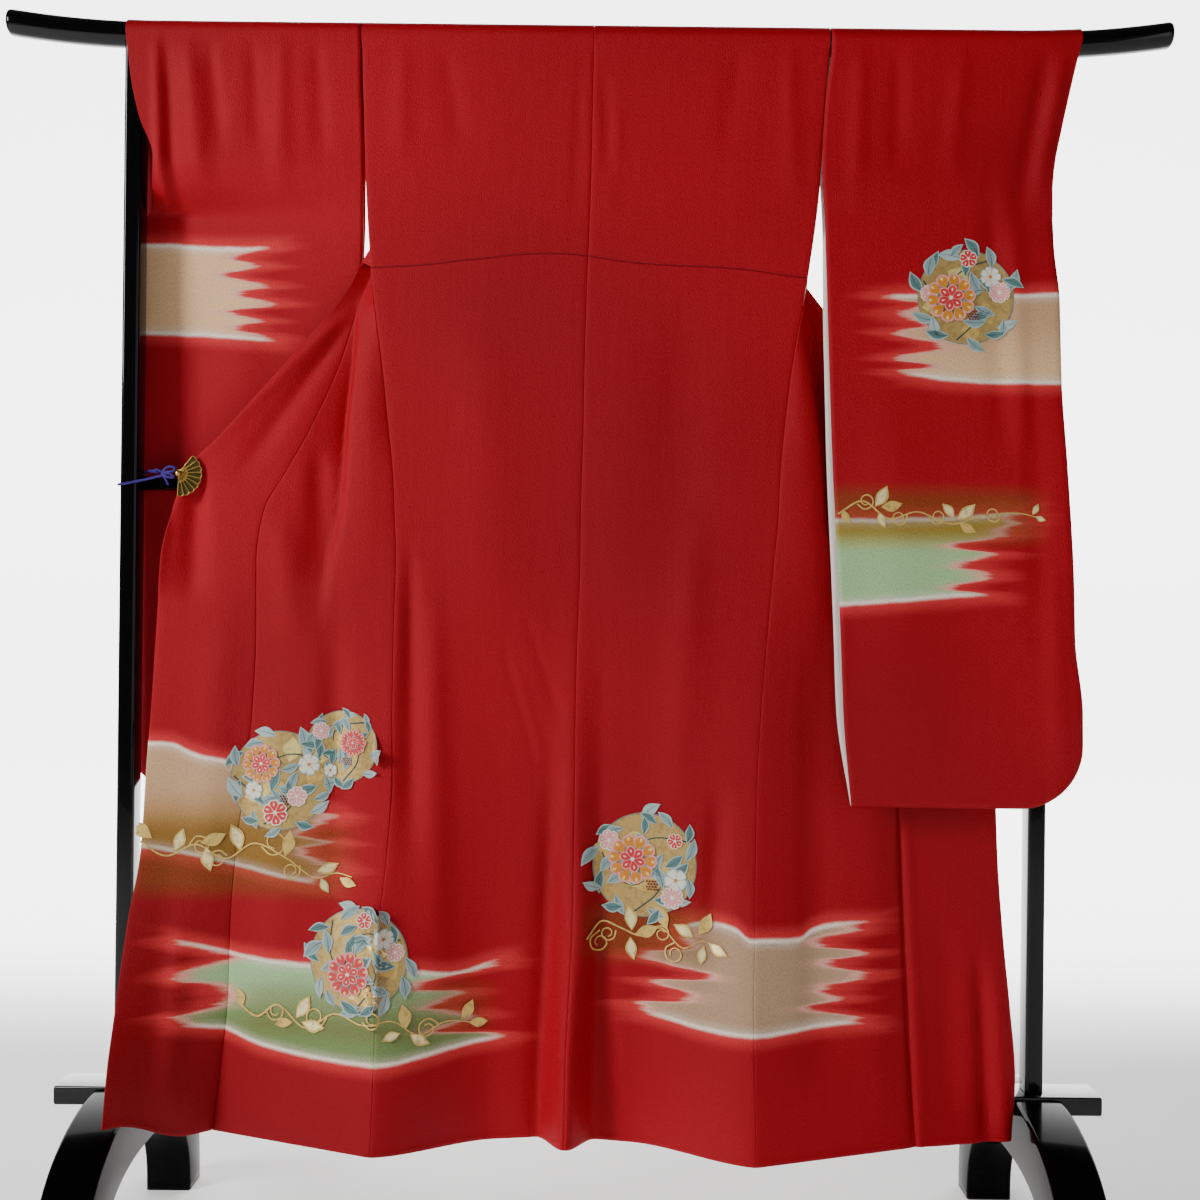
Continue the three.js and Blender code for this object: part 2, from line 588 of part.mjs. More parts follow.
function sleeve(name, rows, bottom) {
  const heights = sleeveGrid(rows, bottom);
  const outer = Math.abs(rows.nearOutX[0] - rows.nearInX[0]);
  const across = [0, 0.14, 0.3, 0.46, 0.62, 0.78, 0.9];
  const close = [EDGE_ROUND, 4, 1.2, 0].map((d) => 1 - d / outer);
  const spots = [...across, ...close];
  const layers = ["near", "far"].map((layer) => {
    const grid = heights.map((z) => spots.map((u) => sleevePoint(rows, layer, u, z, bottom)));
    for (const turn of SLEEVE_TURNS) {
      grid.push(
        spots.map((u) => {
          const crest = turn === 90;
          const from = crest ? "near" : layer;
          const inX = at(rows, from + "InX", BAR_Z);
          const outX = at(rows, from + "OutX", BAR_Z);
          return wrapPoint(mix(inX, outX, u), layer === "near" ? turn : 180 - turn);
        }),
      );
    }
    return grid.map((row) => row.map(lift));
  });
  const leftSide = rows.nearOutX[0] < rows.nearInX[0];
  const points = [];
  const normals = [];
  const quads = [];
  layers.forEach((grid, k) => {
    const flip = (k === 0) === leftSide;
    const gridNormal = gridNormals(grid, flip);
    const start = points.length;
    grid.forEach((row, i) => {
      points.push(...row);
      normals.push(...gridNormal[i]);
    });
    const wide = spots.length;
    for (let i = 0; i + 1 < grid.length; i += 1) {
      for (let j = 0; j + 1 < wide; j += 1) {
        const a = start + i * wide + j;
        const quad = [a, a + 1, a + wide + 1, a + wide];
        quads.push(flip ? quad.reverse() : quad);
      }
    }
  });
  const fold = [leftSide ? -1 : 1, 0, -1];
  return add(name, shell(points, quads, normals, CLOTH, fold), red);
}
sleeve("sleeve_left", SLEEVE_LEFT, SLEEVE_BOTTOM.left);
sleeve("sleeve_right", SLEEVE_RIGHT, SLEEVE_BOTTOM.right);

// Stand
function solid(geometry) {
  const bare = geometry.index ? geometry.toNonIndexed() : geometry.clone();
  bare.deleteAttribute("normal");
  bare.deleteAttribute("uv");
  const merged = mergeVertices(bare, 1e-4);
  return new wasm.Manifold(
    new wasm.Mesh({
      numProp: 3,
      vertProperties: new Float32Array(merged.attributes.position.array),
      triVerts: new Uint32Array(merged.index.array),
    }),
  );
}
function geometryOf(manifold) {
  const mesh = manifold.getMesh();
  const geometry = new THREE.BufferGeometry();
  geometry.setAttribute("position", new THREE.Float32BufferAttribute(mesh.vertProperties, 3));
  geometry.setIndex(Array.from(mesh.triVerts));
  return geometry.toNonIndexed();
}

// A rounded rectangle, drawn about its centre.
function roundedRectangle(wide, high, radius, steps = 3) {
  const shape = new THREE.Shape();
  const x = wide / 2 - radius;
  const y = high / 2 - radius;
  const corners = [[x, y, 0], [-x, y, 90], [-x, -y, 180], [x, -y, 270]];
  const points = corners.flatMap(([cx, cy, start]) =>
    spread(start, start + 90, steps).map((angle) => {
      const a = THREE.MathUtils.degToRad(angle);
      return new THREE.Vector2(cx + radius * Math.cos(a), cy + radius * Math.sin(a));
    }),
  );
  shape.setFromPoints(points);
  return shape;
}

// The top bar: an oval section carried along a line whose ends curve up.
function barGeometry(grow) {
  const section = spread(0, 360, 28).slice(0, -1).map((angle) => {
    const a = THREE.MathUtils.degToRad(angle);
    return [(BAR_DEEP + grow) * Math.cos(a), (BAR_HIGH + grow) * Math.sin(a)];
  });
  const stations = [
    -BAR_HALF, -BAR_HALF + 4, -780, -740, -700, -660, -625, -BAR_BEND,
    BAR_BEND, 625, 660, 700, 740, 780, BAR_HALF - 4, BAR_HALF,
  ];
  const position = [];
  const index = [];
  stations.forEach((x, i) => {
    const end = i === 0 || i === stations.length - 1;
    const size = end ? 0.86 : 1;
    for (const [y, z] of section) position.push(x, y * size, BAR_Z + rise(x) + z * size);
  });
  const around = section.length;
  for (let i = 0; i + 1 < stations.length; i += 1) {
    for (let j = 0; j < around; j += 1) {
      const a = i * around + j;
      const b = i * around + ((j + 1) % around);
      index.push(a, a + around, b, b, a + around, b + around);
    }
  }
  const last = (stations.length - 1) * around;
  for (let j = 1; j + 1 < around; j += 1) {
    index.push(0, j, j + 1);
    index.push(last, last + j + 1, last + j);
  }
  const geometry = new THREE.BufferGeometry();
  geometry.setAttribute("position", new THREE.Float32BufferAttribute(position, 3));
  geometry.setIndex(index.reverse());
  return geometry;
}
add("top_bar", barGeometry(0), lacquer);

// Posts: each stands on the lower rail and holds the bar in a hollow in its top.
const POST_TOP = 1700;
const saddle = solid(barGeometry(GAP));
for (const [name, x] of [["post_left", -POST_X], ["post_right", POST_X]]) {
  const shape = roundedRectangle(POST_WIDE, POST_DEEP, 4);
  const low = RAIL_TOP + GAP;
  const post = new THREE.ExtrudeGeometry(shape, { depth: POST_TOP - low, bevelEnabled: false });
  post.translate(x, 0, low);
  add(name, geometryOf(solid(post).subtract(saddle)), lacquer);
}

// Middle rail: a round bar between the posts.
const midLength = 2 * (POST_X - POST_WIDE / 2 - GAP);
const midRail = new THREE.CylinderGeometry(MID_RAIL_R, MID_RAIL_R, midLength, 24, 1);
add("middle_rail", midRail.rotateZ(Math.PI / 2).translate(0, 0, MID_RAIL_Z), lacquer);

// Lower rail: a flat plank with rounded edges, laid in a notch of each foot.
const plank = new THREE.ExtrudeGeometry(roundedRectangle(RAIL_DEEP, RAIL_TOP - RAIL_LOW, 3), {
  depth: 2 * RAIL_HALF,
  bevelEnabled: false,
});
plank.rotateX(Math.PI / 2).rotateZ(Math.PI / 2).translate(-RAIL_HALF, 0, (RAIL_LOW + RAIL_TOP) / 2);
add("lower_rail", plank, lacquer);

// Feet: an arch in the plane of Y and Z, with flat soles and a notch for the rail.
const ARCH_STEPS = 26;
function arch({ reach, rise: high }) {
  return spread(0, 180, ARCH_STEPS).map((angle) => {
    const a = THREE.MathUtils.degToRad(angle);
    const power = 2 / FOOT_POWER;
    const across = Math.sign(Math.cos(a)) * Math.abs(Math.cos(a)) ** power;
    return new THREE.Vector2(reach * across, high * Math.abs(Math.sin(a)) ** power);
  });
}
for (const [name, x] of [["foot_left", -FOOT_X], ["foot_right", FOOT_X]]) {
  const outline = [...arch(FOOT_OUTER), ...arch(FOOT_INNER).reverse()];
  const foot = new THREE.ExtrudeGeometry(new THREE.Shape(outline), {
    depth: FOOT_WIDE,
    bevelEnabled: false,
  });
  foot.rotateX(Math.PI / 2).rotateZ(Math.PI / 2).translate(x - FOOT_WIDE / 2, 0, 0);
  const notch = new THREE.BoxGeometry(2 * FOOT_WIDE, RAIL_DEEP + 2 * GAP, NOTCH_HIGH);
  notch.translate(x, 0, RAIL_LOW - GAP + NOTCH_HIGH / 2);
  add(name, geometryOf(solid(foot).subtract(solid(notch))), lacquer);
}

// Clip: a small fan of ribs in front of the front edge, a jaw behind it, and a cord
// from the clip round the left post.
const CLIP = { x: -563, z: 1094, front: -33.4, back: -25 };
const FAN = { pivot: 3.1, inner: 12, outer: 32, ribs: 9, from: -92, to: 52, thick: 2.2, stick: 1 };
function fanPlate() {
  const points = [];
  const stepAngle = (FAN.to - FAN.from) / FAN.ribs;
  for (let i = 0; i < FAN.ribs; i += 1) {
    const start = FAN.from + i * stepAngle;
    points.push([FAN.outer * 0.955, start], [FAN.outer, start + stepAngle / 2]);
  }
  points.push([FAN.outer * 0.955, FAN.to]);
  spread(FAN.to, FAN.from, FAN.ribs).forEach((angle) => points.push([FAN.inner, angle]));
  const shape = new THREE.Shape(
    points.map(([r, angle]) => {
      const a = THREE.MathUtils.degToRad(angle);
      return new THREE.Vector2(r * Math.cos(a), r * Math.sin(a));
    }),
  );
  let plate = solid(new THREE.ExtrudeGeometry(shape, { depth: FAN.thick, bevelEnabled: false }));
  const long = FAN.inner + 1 - FAN.pivot;
  for (let i = 0; i < FAN.ribs; i += 1) {
    const angle = THREE.MathUtils.degToRad(FAN.from + (i + 0.5) * stepAngle);
    const stick = new THREE.BoxGeometry(long, FAN.stick, FAN.thick * 0.6);
    stick.translate(FAN.pivot + long / 2, 0, FAN.thick / 2).rotateZ(angle);
    plate = plate.add(solid(stick));
  }
  return geometryOf(plate);
}
const fan = fanPlate().rotateX(Math.PI / 2).translate(CLIP.x, CLIP.front, CLIP.z);
add("clip_fan", fan, gold);

const JAW = { long: 24, high: 12, thick: 1.6, neck: 2.8, pin: 4.5 };
const jawPlate = new THREE.BoxGeometry(JAW.long, JAW.thick, JAW.high);
jawPlate.translate(CLIP.x + JAW.long / 2 - 4, CLIP.back, CLIP.z);
const pinY = CLIP.front - FAN.thick - JAW.pin * 0.8;
const jawPin = new THREE.SphereGeometry(JAW.pin, 16, 12);
jawPin.translate(CLIP.x, pinY, CLIP.z);
const jawNeck = new THREE.CylinderGeometry(JAW.neck, JAW.neck, CLIP.back - pinY, 12);
jawNeck.translate(CLIP.x, (CLIP.back + pinY) / 2, CLIP.z);
const jaw = solid(jawPlate).add(solid(jawPin)).add(solid(jawNeck));
add("clip_jaw", geometryOf(jaw), gold);

const CORD_R = 1.7;
const cordPoints = [
  [-568, -37.2, 1098.6], [-580, -34.5, 1093], [-594, -31, 1089.5], [-610, -26.8, 1086],
  [-626, -23, 1083], [-641, -22.5, 1080], [-649.9, -20.6, 1079], [-652.2, -12, 1079.3],
  [-652.2, 12, 1083], [-649.9, 20.6, 1086], [-641, 22.6, 1090], [-629, 22.6, 1096],
  [-621.5, 18.5, 1098.5], [-617, 2, 1099.5], [-607, -15, 1098], [-594, -27, 1095.5],
];
const cordCurve = new THREE.CatmullRomCurve3(
  cordPoints.map((p) => new THREE.Vector3(...p)),
  false,
  "centripetal",
);
const cordSection = new THREE.Shape(
  spread(0, 360, 8)
    .slice(0, -1)
    .map((angle) => {
      const a = THREE.MathUtils.degToRad(angle);
      return new THREE.Vector2(CORD_R * Math.cos(a), CORD_R * Math.sin(a));
    }),
);
const cord = new THREE.ExtrudeGeometry(cordSection, { steps: 48, extrudePath: cordCurve });
add("clip_cord", cord, purple);

export default group;
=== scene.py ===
"""A furisode hung back outward over a black lacquered kimono stand.

Places are in metres, +Z up, +X to the right of a viewer who faces the garment's back. The
tables and sizes are in millimetres, as a dressmaker and a joiner note them.
"""

import math

import bpy
import numpy as np
from mathutils import Matrix, Vector


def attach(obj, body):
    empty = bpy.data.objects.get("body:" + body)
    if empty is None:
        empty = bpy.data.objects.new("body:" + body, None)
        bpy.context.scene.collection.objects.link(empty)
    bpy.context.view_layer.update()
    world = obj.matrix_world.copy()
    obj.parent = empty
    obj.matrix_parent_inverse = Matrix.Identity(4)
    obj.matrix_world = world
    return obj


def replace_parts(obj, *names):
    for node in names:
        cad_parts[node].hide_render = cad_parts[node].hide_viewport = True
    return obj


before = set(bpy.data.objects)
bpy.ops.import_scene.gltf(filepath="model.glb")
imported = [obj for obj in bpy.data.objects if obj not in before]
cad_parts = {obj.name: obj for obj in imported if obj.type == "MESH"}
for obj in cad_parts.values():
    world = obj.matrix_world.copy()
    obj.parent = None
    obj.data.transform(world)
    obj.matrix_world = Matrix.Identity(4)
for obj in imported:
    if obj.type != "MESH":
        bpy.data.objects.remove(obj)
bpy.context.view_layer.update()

MM = 0.001

# The stage, in millimetres, how strongly the backdrop glows, and from where to where along Y,
# in metres, the glow sets in
FLOOR_HALF = 9000
FLOOR_FRONT = -5000
FLOOR_BEND = 4800
WALL_BEND = 1500
WALL_TOP = 8500
WALL_GLOW = 3.8
GLOW_FROM = 0.9
GLOW_TO = 2.3
WORLD_LIGHT = 0.07

# Lights: name, place and aim in metres, width, height and power in watts
LIGHTS = [
    ("key", (-3.2, -2.0, 2.3), (0, 0, 0.95), 0.9, 1.4, 135),
    ("fill", (2.6, -3.2, 1.4), (0, 0, 0.9), 1.4, 2.0, 14),
    ("front", (0.2, -4.0, 1.2), (0, 0, 0.9), 2.0, 2.0, 10),
]

# Camera: place in metres, lens and sensor in millimetres, and its turn about its view line
CAMERA_PLACE = (0.023, -2.4, 0.925)
LENS = 51.15
SENSOR = 36
ROLL = 0.65

# Stand, in millimetres
BAR_HALF = 818
BAR_Z = 1712
BAR_DEEP = 20
BAR_HIGH = 18.5
BAR_BEND = 600
BAR_RISE = 17
BAR_END = 6
POST_X = 637
POST_WIDE = 25
POST_DEEP = 40
POST_TOP = 1700
JOINT_GAP = 0.3
RAIL_HALF = 728
RAIL_LOW = 216
RAIL_TOP = 242
RAIL_DEEP = 70
MID_RAIL_Z = 1082
MID_RAIL_R = 10
FOOT_X = 638
FOOT_WIDE = 68
FOOT_OUTER = (320, 238)
FOOT_INNER = (250, 155)
FOOT_POWER = 2.5

# Cloth, in millimetres
CLOTH = 1.6
WRAP_DEEP = BAR_DEEP + 0.5 + CLOTH / 2
WRAP_HIGH = BAR_HIGH + 0.5 + CLOTH / 2
SEAM = 0.15
HEM = 184
HEM_SOFT = 372
ARMPIT = 1362
SLIT_GAP = 0.6
SLIT_OPENS = (1240, 1310)
BAR_FADE = (1690, 1710)
PLEAT_LONG = 50
HEM_ROLL = 0.9
TIP = 1390
SHOULDER_TURN = 140
COLLAR_WIDE = 55
COLLAR_THICK = 2.4
COLLAR_BEHIND = 3.2
COLLAR_OUT = 1.8
WRIST = 1460
SLEEVE_CORNER = 85
EDGE_ROUND = 9
SLEEVE_PUFF = 3.5
SLEEVE_BOTTOM_LEFT = 643
SLEEVE_BOTTOM_RIGHT = 649
HEM_HEIGHT = {"left": (192, 225), "right": (195, 197)}
SEAM_SINK = 1.1
SEAM_SOFT = 2.6
FOLD_STRENGTH = 1.7
ALLOWANCE_DEPTH = 1.35
ALLOWANCE_THICK = 0.4

# Usual widths of the panels, from which the columns beside their seams are spaced
BACK_WIDE = 320
FRONT_WIDE = 190
OKUMI_WIDE = 130
SLEEVE_WIDE = 330


def mix(a, b, t):
    """From a to b as t goes from 0 to 1."""
    return a + (b - a) * t


def ease(low, high, v):
    """0 below low, 1 above high, and the cubic 3t2 - 2t3 between them."""
    t = np.clip((v - low) / (high - low), 0, 1)
    return t * t * (3 - 2 * t)


def normal_of(grid):
    """Unit normals of a grid of points: steps along a row crossed with steps up a column."""
    n = np.cross(np.gradient(grid, axis=1), np.gradient(grid, axis=0))
    return n / np.maximum(np.linalg.norm(n, axis=2, keepdims=True), 1e-9)


class Table:
    """Rows of numbers under named columns, the first of them a height.

    A call gives a column's value at any height: a cubic through the rows whose slope at a
    row is the harmonic mean of its neighbours' slopes, so it never overshoots them.
    """

    def __init__(self, columns, rows):
        values = np.array(sorted(rows), float)
        self.z = values[:, 0]
        self.values = dict(zip(columns, values.T))

    def __call__(self, name, z):
        v = self.values[name]
        slope = np.diff(v) / np.diff(self.z)
        a, b = slope[:-1], slope[1:]
        same = a * b > 0
        inner = np.where(same, 2 * a * b / np.where(same, a + b, 1), 0)
        tangent = np.concatenate([slope[:1], inner, slope[-1:]])
        z = np.clip(z, self.z[0], self.z[-1])
        i = np.clip(np.searchsorted(self.z, z) - 1, 0, len(v) - 2)
        span = self.z[i + 1] - self.z[i]
        t = (z - self.z[i]) / span
        return (
            v[i] * (2 * t**3 - 3 * t**2 + 1)
            + v[i + 1] * (3 * t**2 - 2 * t**3)
            + span * tangent[i] * (t**3 - 2 * t**2 + t)
            + span * tangent[i + 1] * (t**3 - t**2)
        )


# The back: its seams' places, how far each stands forward, and the hollows between them
BACK = Table(
    ["z", "left", "centre", "right", "leftOut", "centreOut", "rightOut", "hollow"],
    [
        [BAR_Z, -319, 6, 336, WRAP_DEEP, WRAP_DEEP, WRAP_DEEP, 0],
        [1605, -314, 5, 328, 22, 22, 22, 0],
        [1507, -310, 4, 323, 24, 23, 24, 0],
        [ARMPIT, -299, 0, 305, 28, 26, 28, 0],
        [1265, -286, -2, 289, 28, 28, 28, 0],
        [1156, -273, -3, 276, 32, 30, 32, 0],
        [1097, -266, -4, 271, 36, 31, 36, 0],
        [1042, -263, -5, 269, 38, 32, 38, 0],
        [976, -260, -5, 263, 40, 34, 40, 0],
        [865, -262, -8, 254, 44, 38, 46, 2],
        [780, -262, -9, 247, 50, 42, 54, 6],
        [670, -260, -9, 241, 60, 48, 66, 12],
        [575, -264, -9, 239, 72, 56, 80, 18],
        [467, -272, -10, 237, 90, 68, 104, 30],
        [372, -272, -14, 234, 110, 82, 128, 41],
        [280, -272, -17, 235, 130, 96, 150, 52],
        [HEM, -273, -17, 236, 146, 107, 169, 63],
    ],
)
# The fronts' side edges above the armpits; y is away from the viewer
SLIT = Table(
    ["z", "left", "right", "y"],
    [
        [BAR_Z, -319, 336, WRAP_DEEP],
        [1690, -318, 334, 22],
        [1640, -316, 331, 24],
        [1545, -312, 325, 22],
        [1490, -309, 322, 12],
        [1450, -306, 317, 0],
        [1400, -302, 310, -20],
        [ARMPIT, -299, 305, -28],
    ],
)
# The fronts: the okumi seam, the front edge, the cloth's swell, and the pleat by the side seam
FRONT_COLUMNS = ["z", "seamX", "seamY", "edgeX", "edgeY", "swell", "pleatX", "pleat"]
FRONT_LEFT = Table(
    FRONT_COLUMNS,
    [
        [BAR_Z, -87, WRAP_DEEP, -88, WRAP_DEEP, 0, -326, 0],
        [1690, -103, 22.5, -104, 22.5, 0, -326, 0],
        [1640, -139, 24, -140, 24, 2, -326, 0],
        [1545, -204, 18, -205, 18, 5, -326, 0],
        [1490, -239, 12, -240, 12, 8, -326, 0],
        [1450, -280, 6, -283, 6, 11, -326, 0],
        [1400, -306, -1, -316, 0, 15, -324, 0],
        [ARMPIT, -318, -8, -333, -6, 13, -320, 0],
        [1265, -342, -20, -409, -17, 4, -323, 18],
        [1156, -386, -30, -501, -27, 0, -331, 28],
        [1097, -417, -33, -555, -31, 0, -333, 20],
        [1042, -446, -34, -573, -32, 0, -337, 18],
        [976, -455, -34, -587, -32, 0, -352, 11],
        [865, -454, -33, -593, -34, 0, -360, 0],
        [780, -457, -34, -597, -36, 0, -360, 0],
        [670, -466, -36, -603, -42, 0, -360, 0],
        [575, -477, -38, -605, -55, 0, -360, 0],
        [467, -484, -40, -618, -76, 0, -360, 0],
        [HEM_SOFT, -485, -44, -622, -110, 0, -360, 0],
        [280, -492, -50, -621, -150, 0, -360, 0],
        [HEM, -501, -60, -620, -176, 0, -360, 0],
    ],
)
FRONT_RIGHT = Table(
    FRONT_COLUMNS,
    [
        [BAR_Z, 99, WRAP_DEEP, 100, WRAP_DEEP, 0, 312, 0],
        [1690, 115, 22.5, 116, 22.5, 0, 312, 0],
        [1640, 151, 24, 152, 24, 2, 312, 0],
        [1545, 210, 18, 211, 18, 5, 312, 0],
        [1490, 239, 12, 240, 12, 8, 312, 0],
        [1450, 261, 6, 262, 6, 11, 312, 0],
        [1400, 281, -1, 286, 0, 15, 312, 0],
        [ARMPIT, 301, -8, 312, -6, 13, 306, 0],
        [1265, 334, -20, 392, -17, 4, 314, 18],
        [1156, 393, -30, 497, -27, 0, 330, 26],
        [1097, 411, -33, 553, -31, 0, 336, 20],
        [1042, 424, -34, 557, -32, 0, 340, 18],
        [976, 429, -34, 559, -32, 0, 352, 11],
        [865, 432, -34, 563, -34, 0, 358, 0],
        [780, 433, -38, 567, -36, 0, 358, 0],
        [670, 436, -44, 573, -40, 0, 358, 0],
        [575, 440, -52, 576, -46, 0, 358, 0],
        [467, 442, -66, 583, -54, 0, 358, 0],
        [HEM_SOFT, 444, -80, 591, -64, 0, 358, 0],
        [280, 449, -96, 596, -76, 0, 358, 0],
        [HEM, 456, -110, 589, -85, 0, 358, 0],
    ],
)
# The sleeves: near is the layer towards the viewer, far the one behind it
SLEEVE_COLUMNS = [
    "z", "nearInX", "nearInY", "nearOutX", "nearOutY", "farInX", "farInY", "farOutX", "farOutY",
]
SLEEVE_LEFT = Table(
    SLEEVE_COLUMNS,
    [
        [BAR_Z, -320, -WRAP_DEEP, -648, -WRAP_DEEP, -320, WRAP_DEEP, -650, WRAP_DEEP],
        [1690, -319, -22, -645, -23, -320, 23, -650, 24],
        [1640, -318, -22, -638, -24, -319, 25, -650, 27],
        [1590, -316, -20, -626, -25, -318, 27, -649, 30],
        [1535, -315, -15, -606, -25, -318, 29, -646, 33],
        [1500, -315, -8, -611, -8, -318, 30, -644, 33],
        [1480, -316, -2, -614, 13, -318, 31, -642, 33],
            [1468, -316, 0, -620, 27, -318, 31, -640, 33],
        [WRIST, -316, 2, -637, 32, -318, 32, -637, 32],
        [1400, -318, 14, -641, 33, -320, 34, -641, 33],
        [1300, -321, 22, -646, 34, -323, 36, -646, 34],
        [1150, -324, 26, -650, 36, -326, 40, -650, 36],
        [950, -328, 28, -651, 38, -330, 44, -651, 38],
        [750, -332, 30, -652, 39, -334, 46, -652, 39],
        [SLEEVE_BOTTOM_LEFT, -336, 38, -652, 39, -336, 38, -652, 39],
    ],
)
SLEEVE_RIGHT = Table(
    SLEEVE_COLUMNS,
    [
        [BAR_Z, 338, -WRAP_DEEP, 688, -WRAP_DEEP, 338, WRAP_DEEP, 688, WRAP_DEEP],
        [1690, 337, -22, 682, -22, 337, 23, 684, 23],
        [1640, 331, -23, 670, -24, 334, 25, 668, 28],
        [1585, 327, -25, 658, -25, 328, 25, 642, 29],
        [1535, 325, -27, 648, -27, 327, 16, 614, 27],
        [1500, 326, -29, 645, -29, 328, 3, 606, 6],
        [1475, 328, -30, 645, -30, 328, -8, 613, -18],
        [WRIST, 329, -31, 645, -31, 328, -14, 645, -31],
        [1418, 330, -35, 647, -34, 328, -25, 647, -34],
        [1347, 332, -43, 654, -40, 328, -33, 654, -40],
        [1235, 335, -54, 655, -51, 330, -44, 655, -51],
        [1110, 339, -66, 662, -62, 333, -55, 662, -62],
        [955, 347, -78, 669, -74, 340, -67, 669, -74],
        [878, 350, -84, 670, -79, 343, -72, 670, -79],
        [776, 354, -90, 680, -85, 347, -78, 680, -85],
        [SLEEVE_BOTTOM_RIGHT, 366, -90, 680, -91, 366, -90, 680, -91],
    ],
)

# Soft folds laid on each cloth. A fold runs from one place to another, is so wide on
# each side of its line at its two ends, and stands so far towards the viewer (or sinks).
# The columns are x, z of the first end, x, z of the second, the two widths and the height.
FOLDS_BACK = [
    [-240, 960, -234, 600, 9, 18, -5],
    [-206, 900, -196, 420, 16, 24, 3],
    [-40, 640, -46, 190, 14, 22, -4],
    [8, 560, 6, 190, 12, 20, 4],
    [190, 640, 176, 380, 14, 22, -5],
    [150, 1000, 130, 560, 22, 34, 2.5],
    [-110, 860, -60, 700, 5, 7, -0.9],
    [-96, 830, -52, 690, 5, 6, 0.8],
    [-80, 900, -30, 760, 4, 6, -0.8],
    [20, 1650, 34, 1500, 7, 8, -1.0],
    [40, 1600, 30, 1480, 6, 8, 0.9],
    [-12, 1660, -18, 1470, 6, 8, -0.8],
    [-200, 1690, -180, 1560, 12, 16, -1.0],
    [-260, 1690, -262, 1540, 10, 14, 1.0],
    [210, 1690, 190, 1560, 12, 18, -1.0],
    [280, 1690, 284, 1500, 10, 14, 1.1],
    [-150, 1300, -120, 900, 40, 50, 2],
    [140, 1320, 120, 1000, 40, 50, -2],
]
FOLDS_FRONT_LEFT = [
    [-330, 1330, -520, 1140, 7, 16, 3],
    [-350, 1290, -470, 1110, 9, 16, -3.5],
    [-540, 1090, -545, 930, 12, 22, -7],
    [-580, 1040, -596, 930, 7, 12, 4],
    [-500, 900, -520, 520, 30, 30, 3],
    [-420, 1020, -400, 860, 18, 30, 3],
    [-372, 1120, -366, 960, 12, 22, -4],
    [-345, 860, -330, 480, 20, 26, -5],
    [-420, 760, -410, 320, 30, 36, 3.5],
    [-570, 560, -572, 240, 24, 30, -2.4],
    [-550, 460, -552, 200, 12, 16, 3],
]
FOLDS_FRONT_RIGHT = [
    [345, 1290, 470, 1120, 9, 16, -3.5],
    [372, 1100, 368, 900, 14, 24, -4],
    [320, 820, 322, 300, 26, 30, -4],
    [400, 700, 402, 260, 26, 32, 3],
    [548, 430, 556, 190, 8, 12, -5],
    [572, 420, 580, 190, 7, 10, 3],
    [500, 480, 506, 220, 20, 24, -2.5],
    [437, 700, 453, 190, 4, 5, -2.6],
    [446, 700, 463, 190, 5, 6, 1.6],
    [296, 860, 292, 330, 3, 3, 0.7],
]
FOLDS_SLEEVE_LEFT = [
    [-604, 1690, -592, 1420, 6, 8, 3],
    [-590, 1690, -575, 1430, 8, 12, -2.6],
    [-560, 1690, -540, 1500, 10, 16, 2.5],
    [-530, 1690, -515, 1560, 8, 12, -2],
    [-470, 1700, -462, 1560, 9, 14, -1.6],
    [-430, 1700, -430, 1500, 9, 16, 1.6],
    [-380, 1700, -372, 1540, 8, 14, -1.5],
    [-480, 1380, -500, 1180, 30, 40, 2],
]
FOLDS_SLEEVE_RIGHT = [
    [660, 1680, 622, 1500, 9, 14, 3],
    [636, 1680, 600, 1470, 10, 18, -3],
    [590, 1450, 606, 1120, 12, 20, 2],
    [560, 1480, 572, 1150, 12, 20, -2],
    [610, 1300, 626, 900, 14, 20, -2],
    [380, 1690, 372, 1500, 9, 14, 1.5],
    [430, 1690, 430, 1540, 9, 14, -1.5],
    [520, 1690, 505, 1520, 10, 16, 1.5],
    [420, 1200, 440, 760, 40, 50, 2],
    [640, 960, 650, 700, 14, 18, 2],
]


def folds(rows, x, z):
    """Height of all folds at x, z: a bell across each fold's line that eases in and out along it."""
    total = np.zeros(np.broadcast(x, z).shape)
    for x0, z0, x1, z1, wide0, wide1, height in rows:
        long = math.hypot(x1 - x0, z1 - z0)
        along = ((x - x0) * (x1 - x0) + (z - z0) * (z1 - z0)) / long**2
        off = ((x - x0) * (z1 - z0) - (z - z0) * (x1 - x0)) / long
        wide = mix(wide0, wide1, np.clip(along, 0, 1))
        window = ease(-0.2, 0.25, along) * (1 - ease(0.75, 1.2, along))
        total = total + height * np.exp(-((off / wide) ** 2)) * window
    return total * FOLD_STRENGTH


# Meshes


def build(name, points, faces, materials, shade=None, uv=None, smooth=True):
    """A finished piece from points in millimetres and faces, which rides on the body."""
    mesh = bpy.data.meshes.new(name)
    mesh.from_pydata((np.asarray(points, float) * MM).tolist(), [], faces)
    for material in materials:
        mesh.materials.append(material)
    if shade is not None:
        mesh.polygons.foreach_set("material_index", np.asarray(shade, np.int32))
    if smooth:
        mesh.polygons.foreach_set("use_smooth", np.ones(len(mesh.polygons), bool))
    if uv is not None:
        layer = mesh.uv_layers.new(name="cut")
        corner = np.zeros(len(mesh.loops), np.int32)
        mesh.loops.foreach_get("vertex_index", corner)
        layer.data.foreach_set("uv", (uv[corner] * MM).astype(np.float32).ravel())
    mesh.validate()
    piece = bpy.data.objects.new(name, mesh)
    bpy.context.scene.collection.objects.link(piece)
    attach(piece, "root")
    return piece


def grid_quads(rows, columns, start=0):
    """Corner numbers of the quads of a grid, as an array of four columns."""
    a = (np.arange(rows - 1)[:, None] * columns + np.arange(columns - 1)).ravel() + start
    return np.stack([a, a + 1, a + columns + 1, a + columns], axis=1)


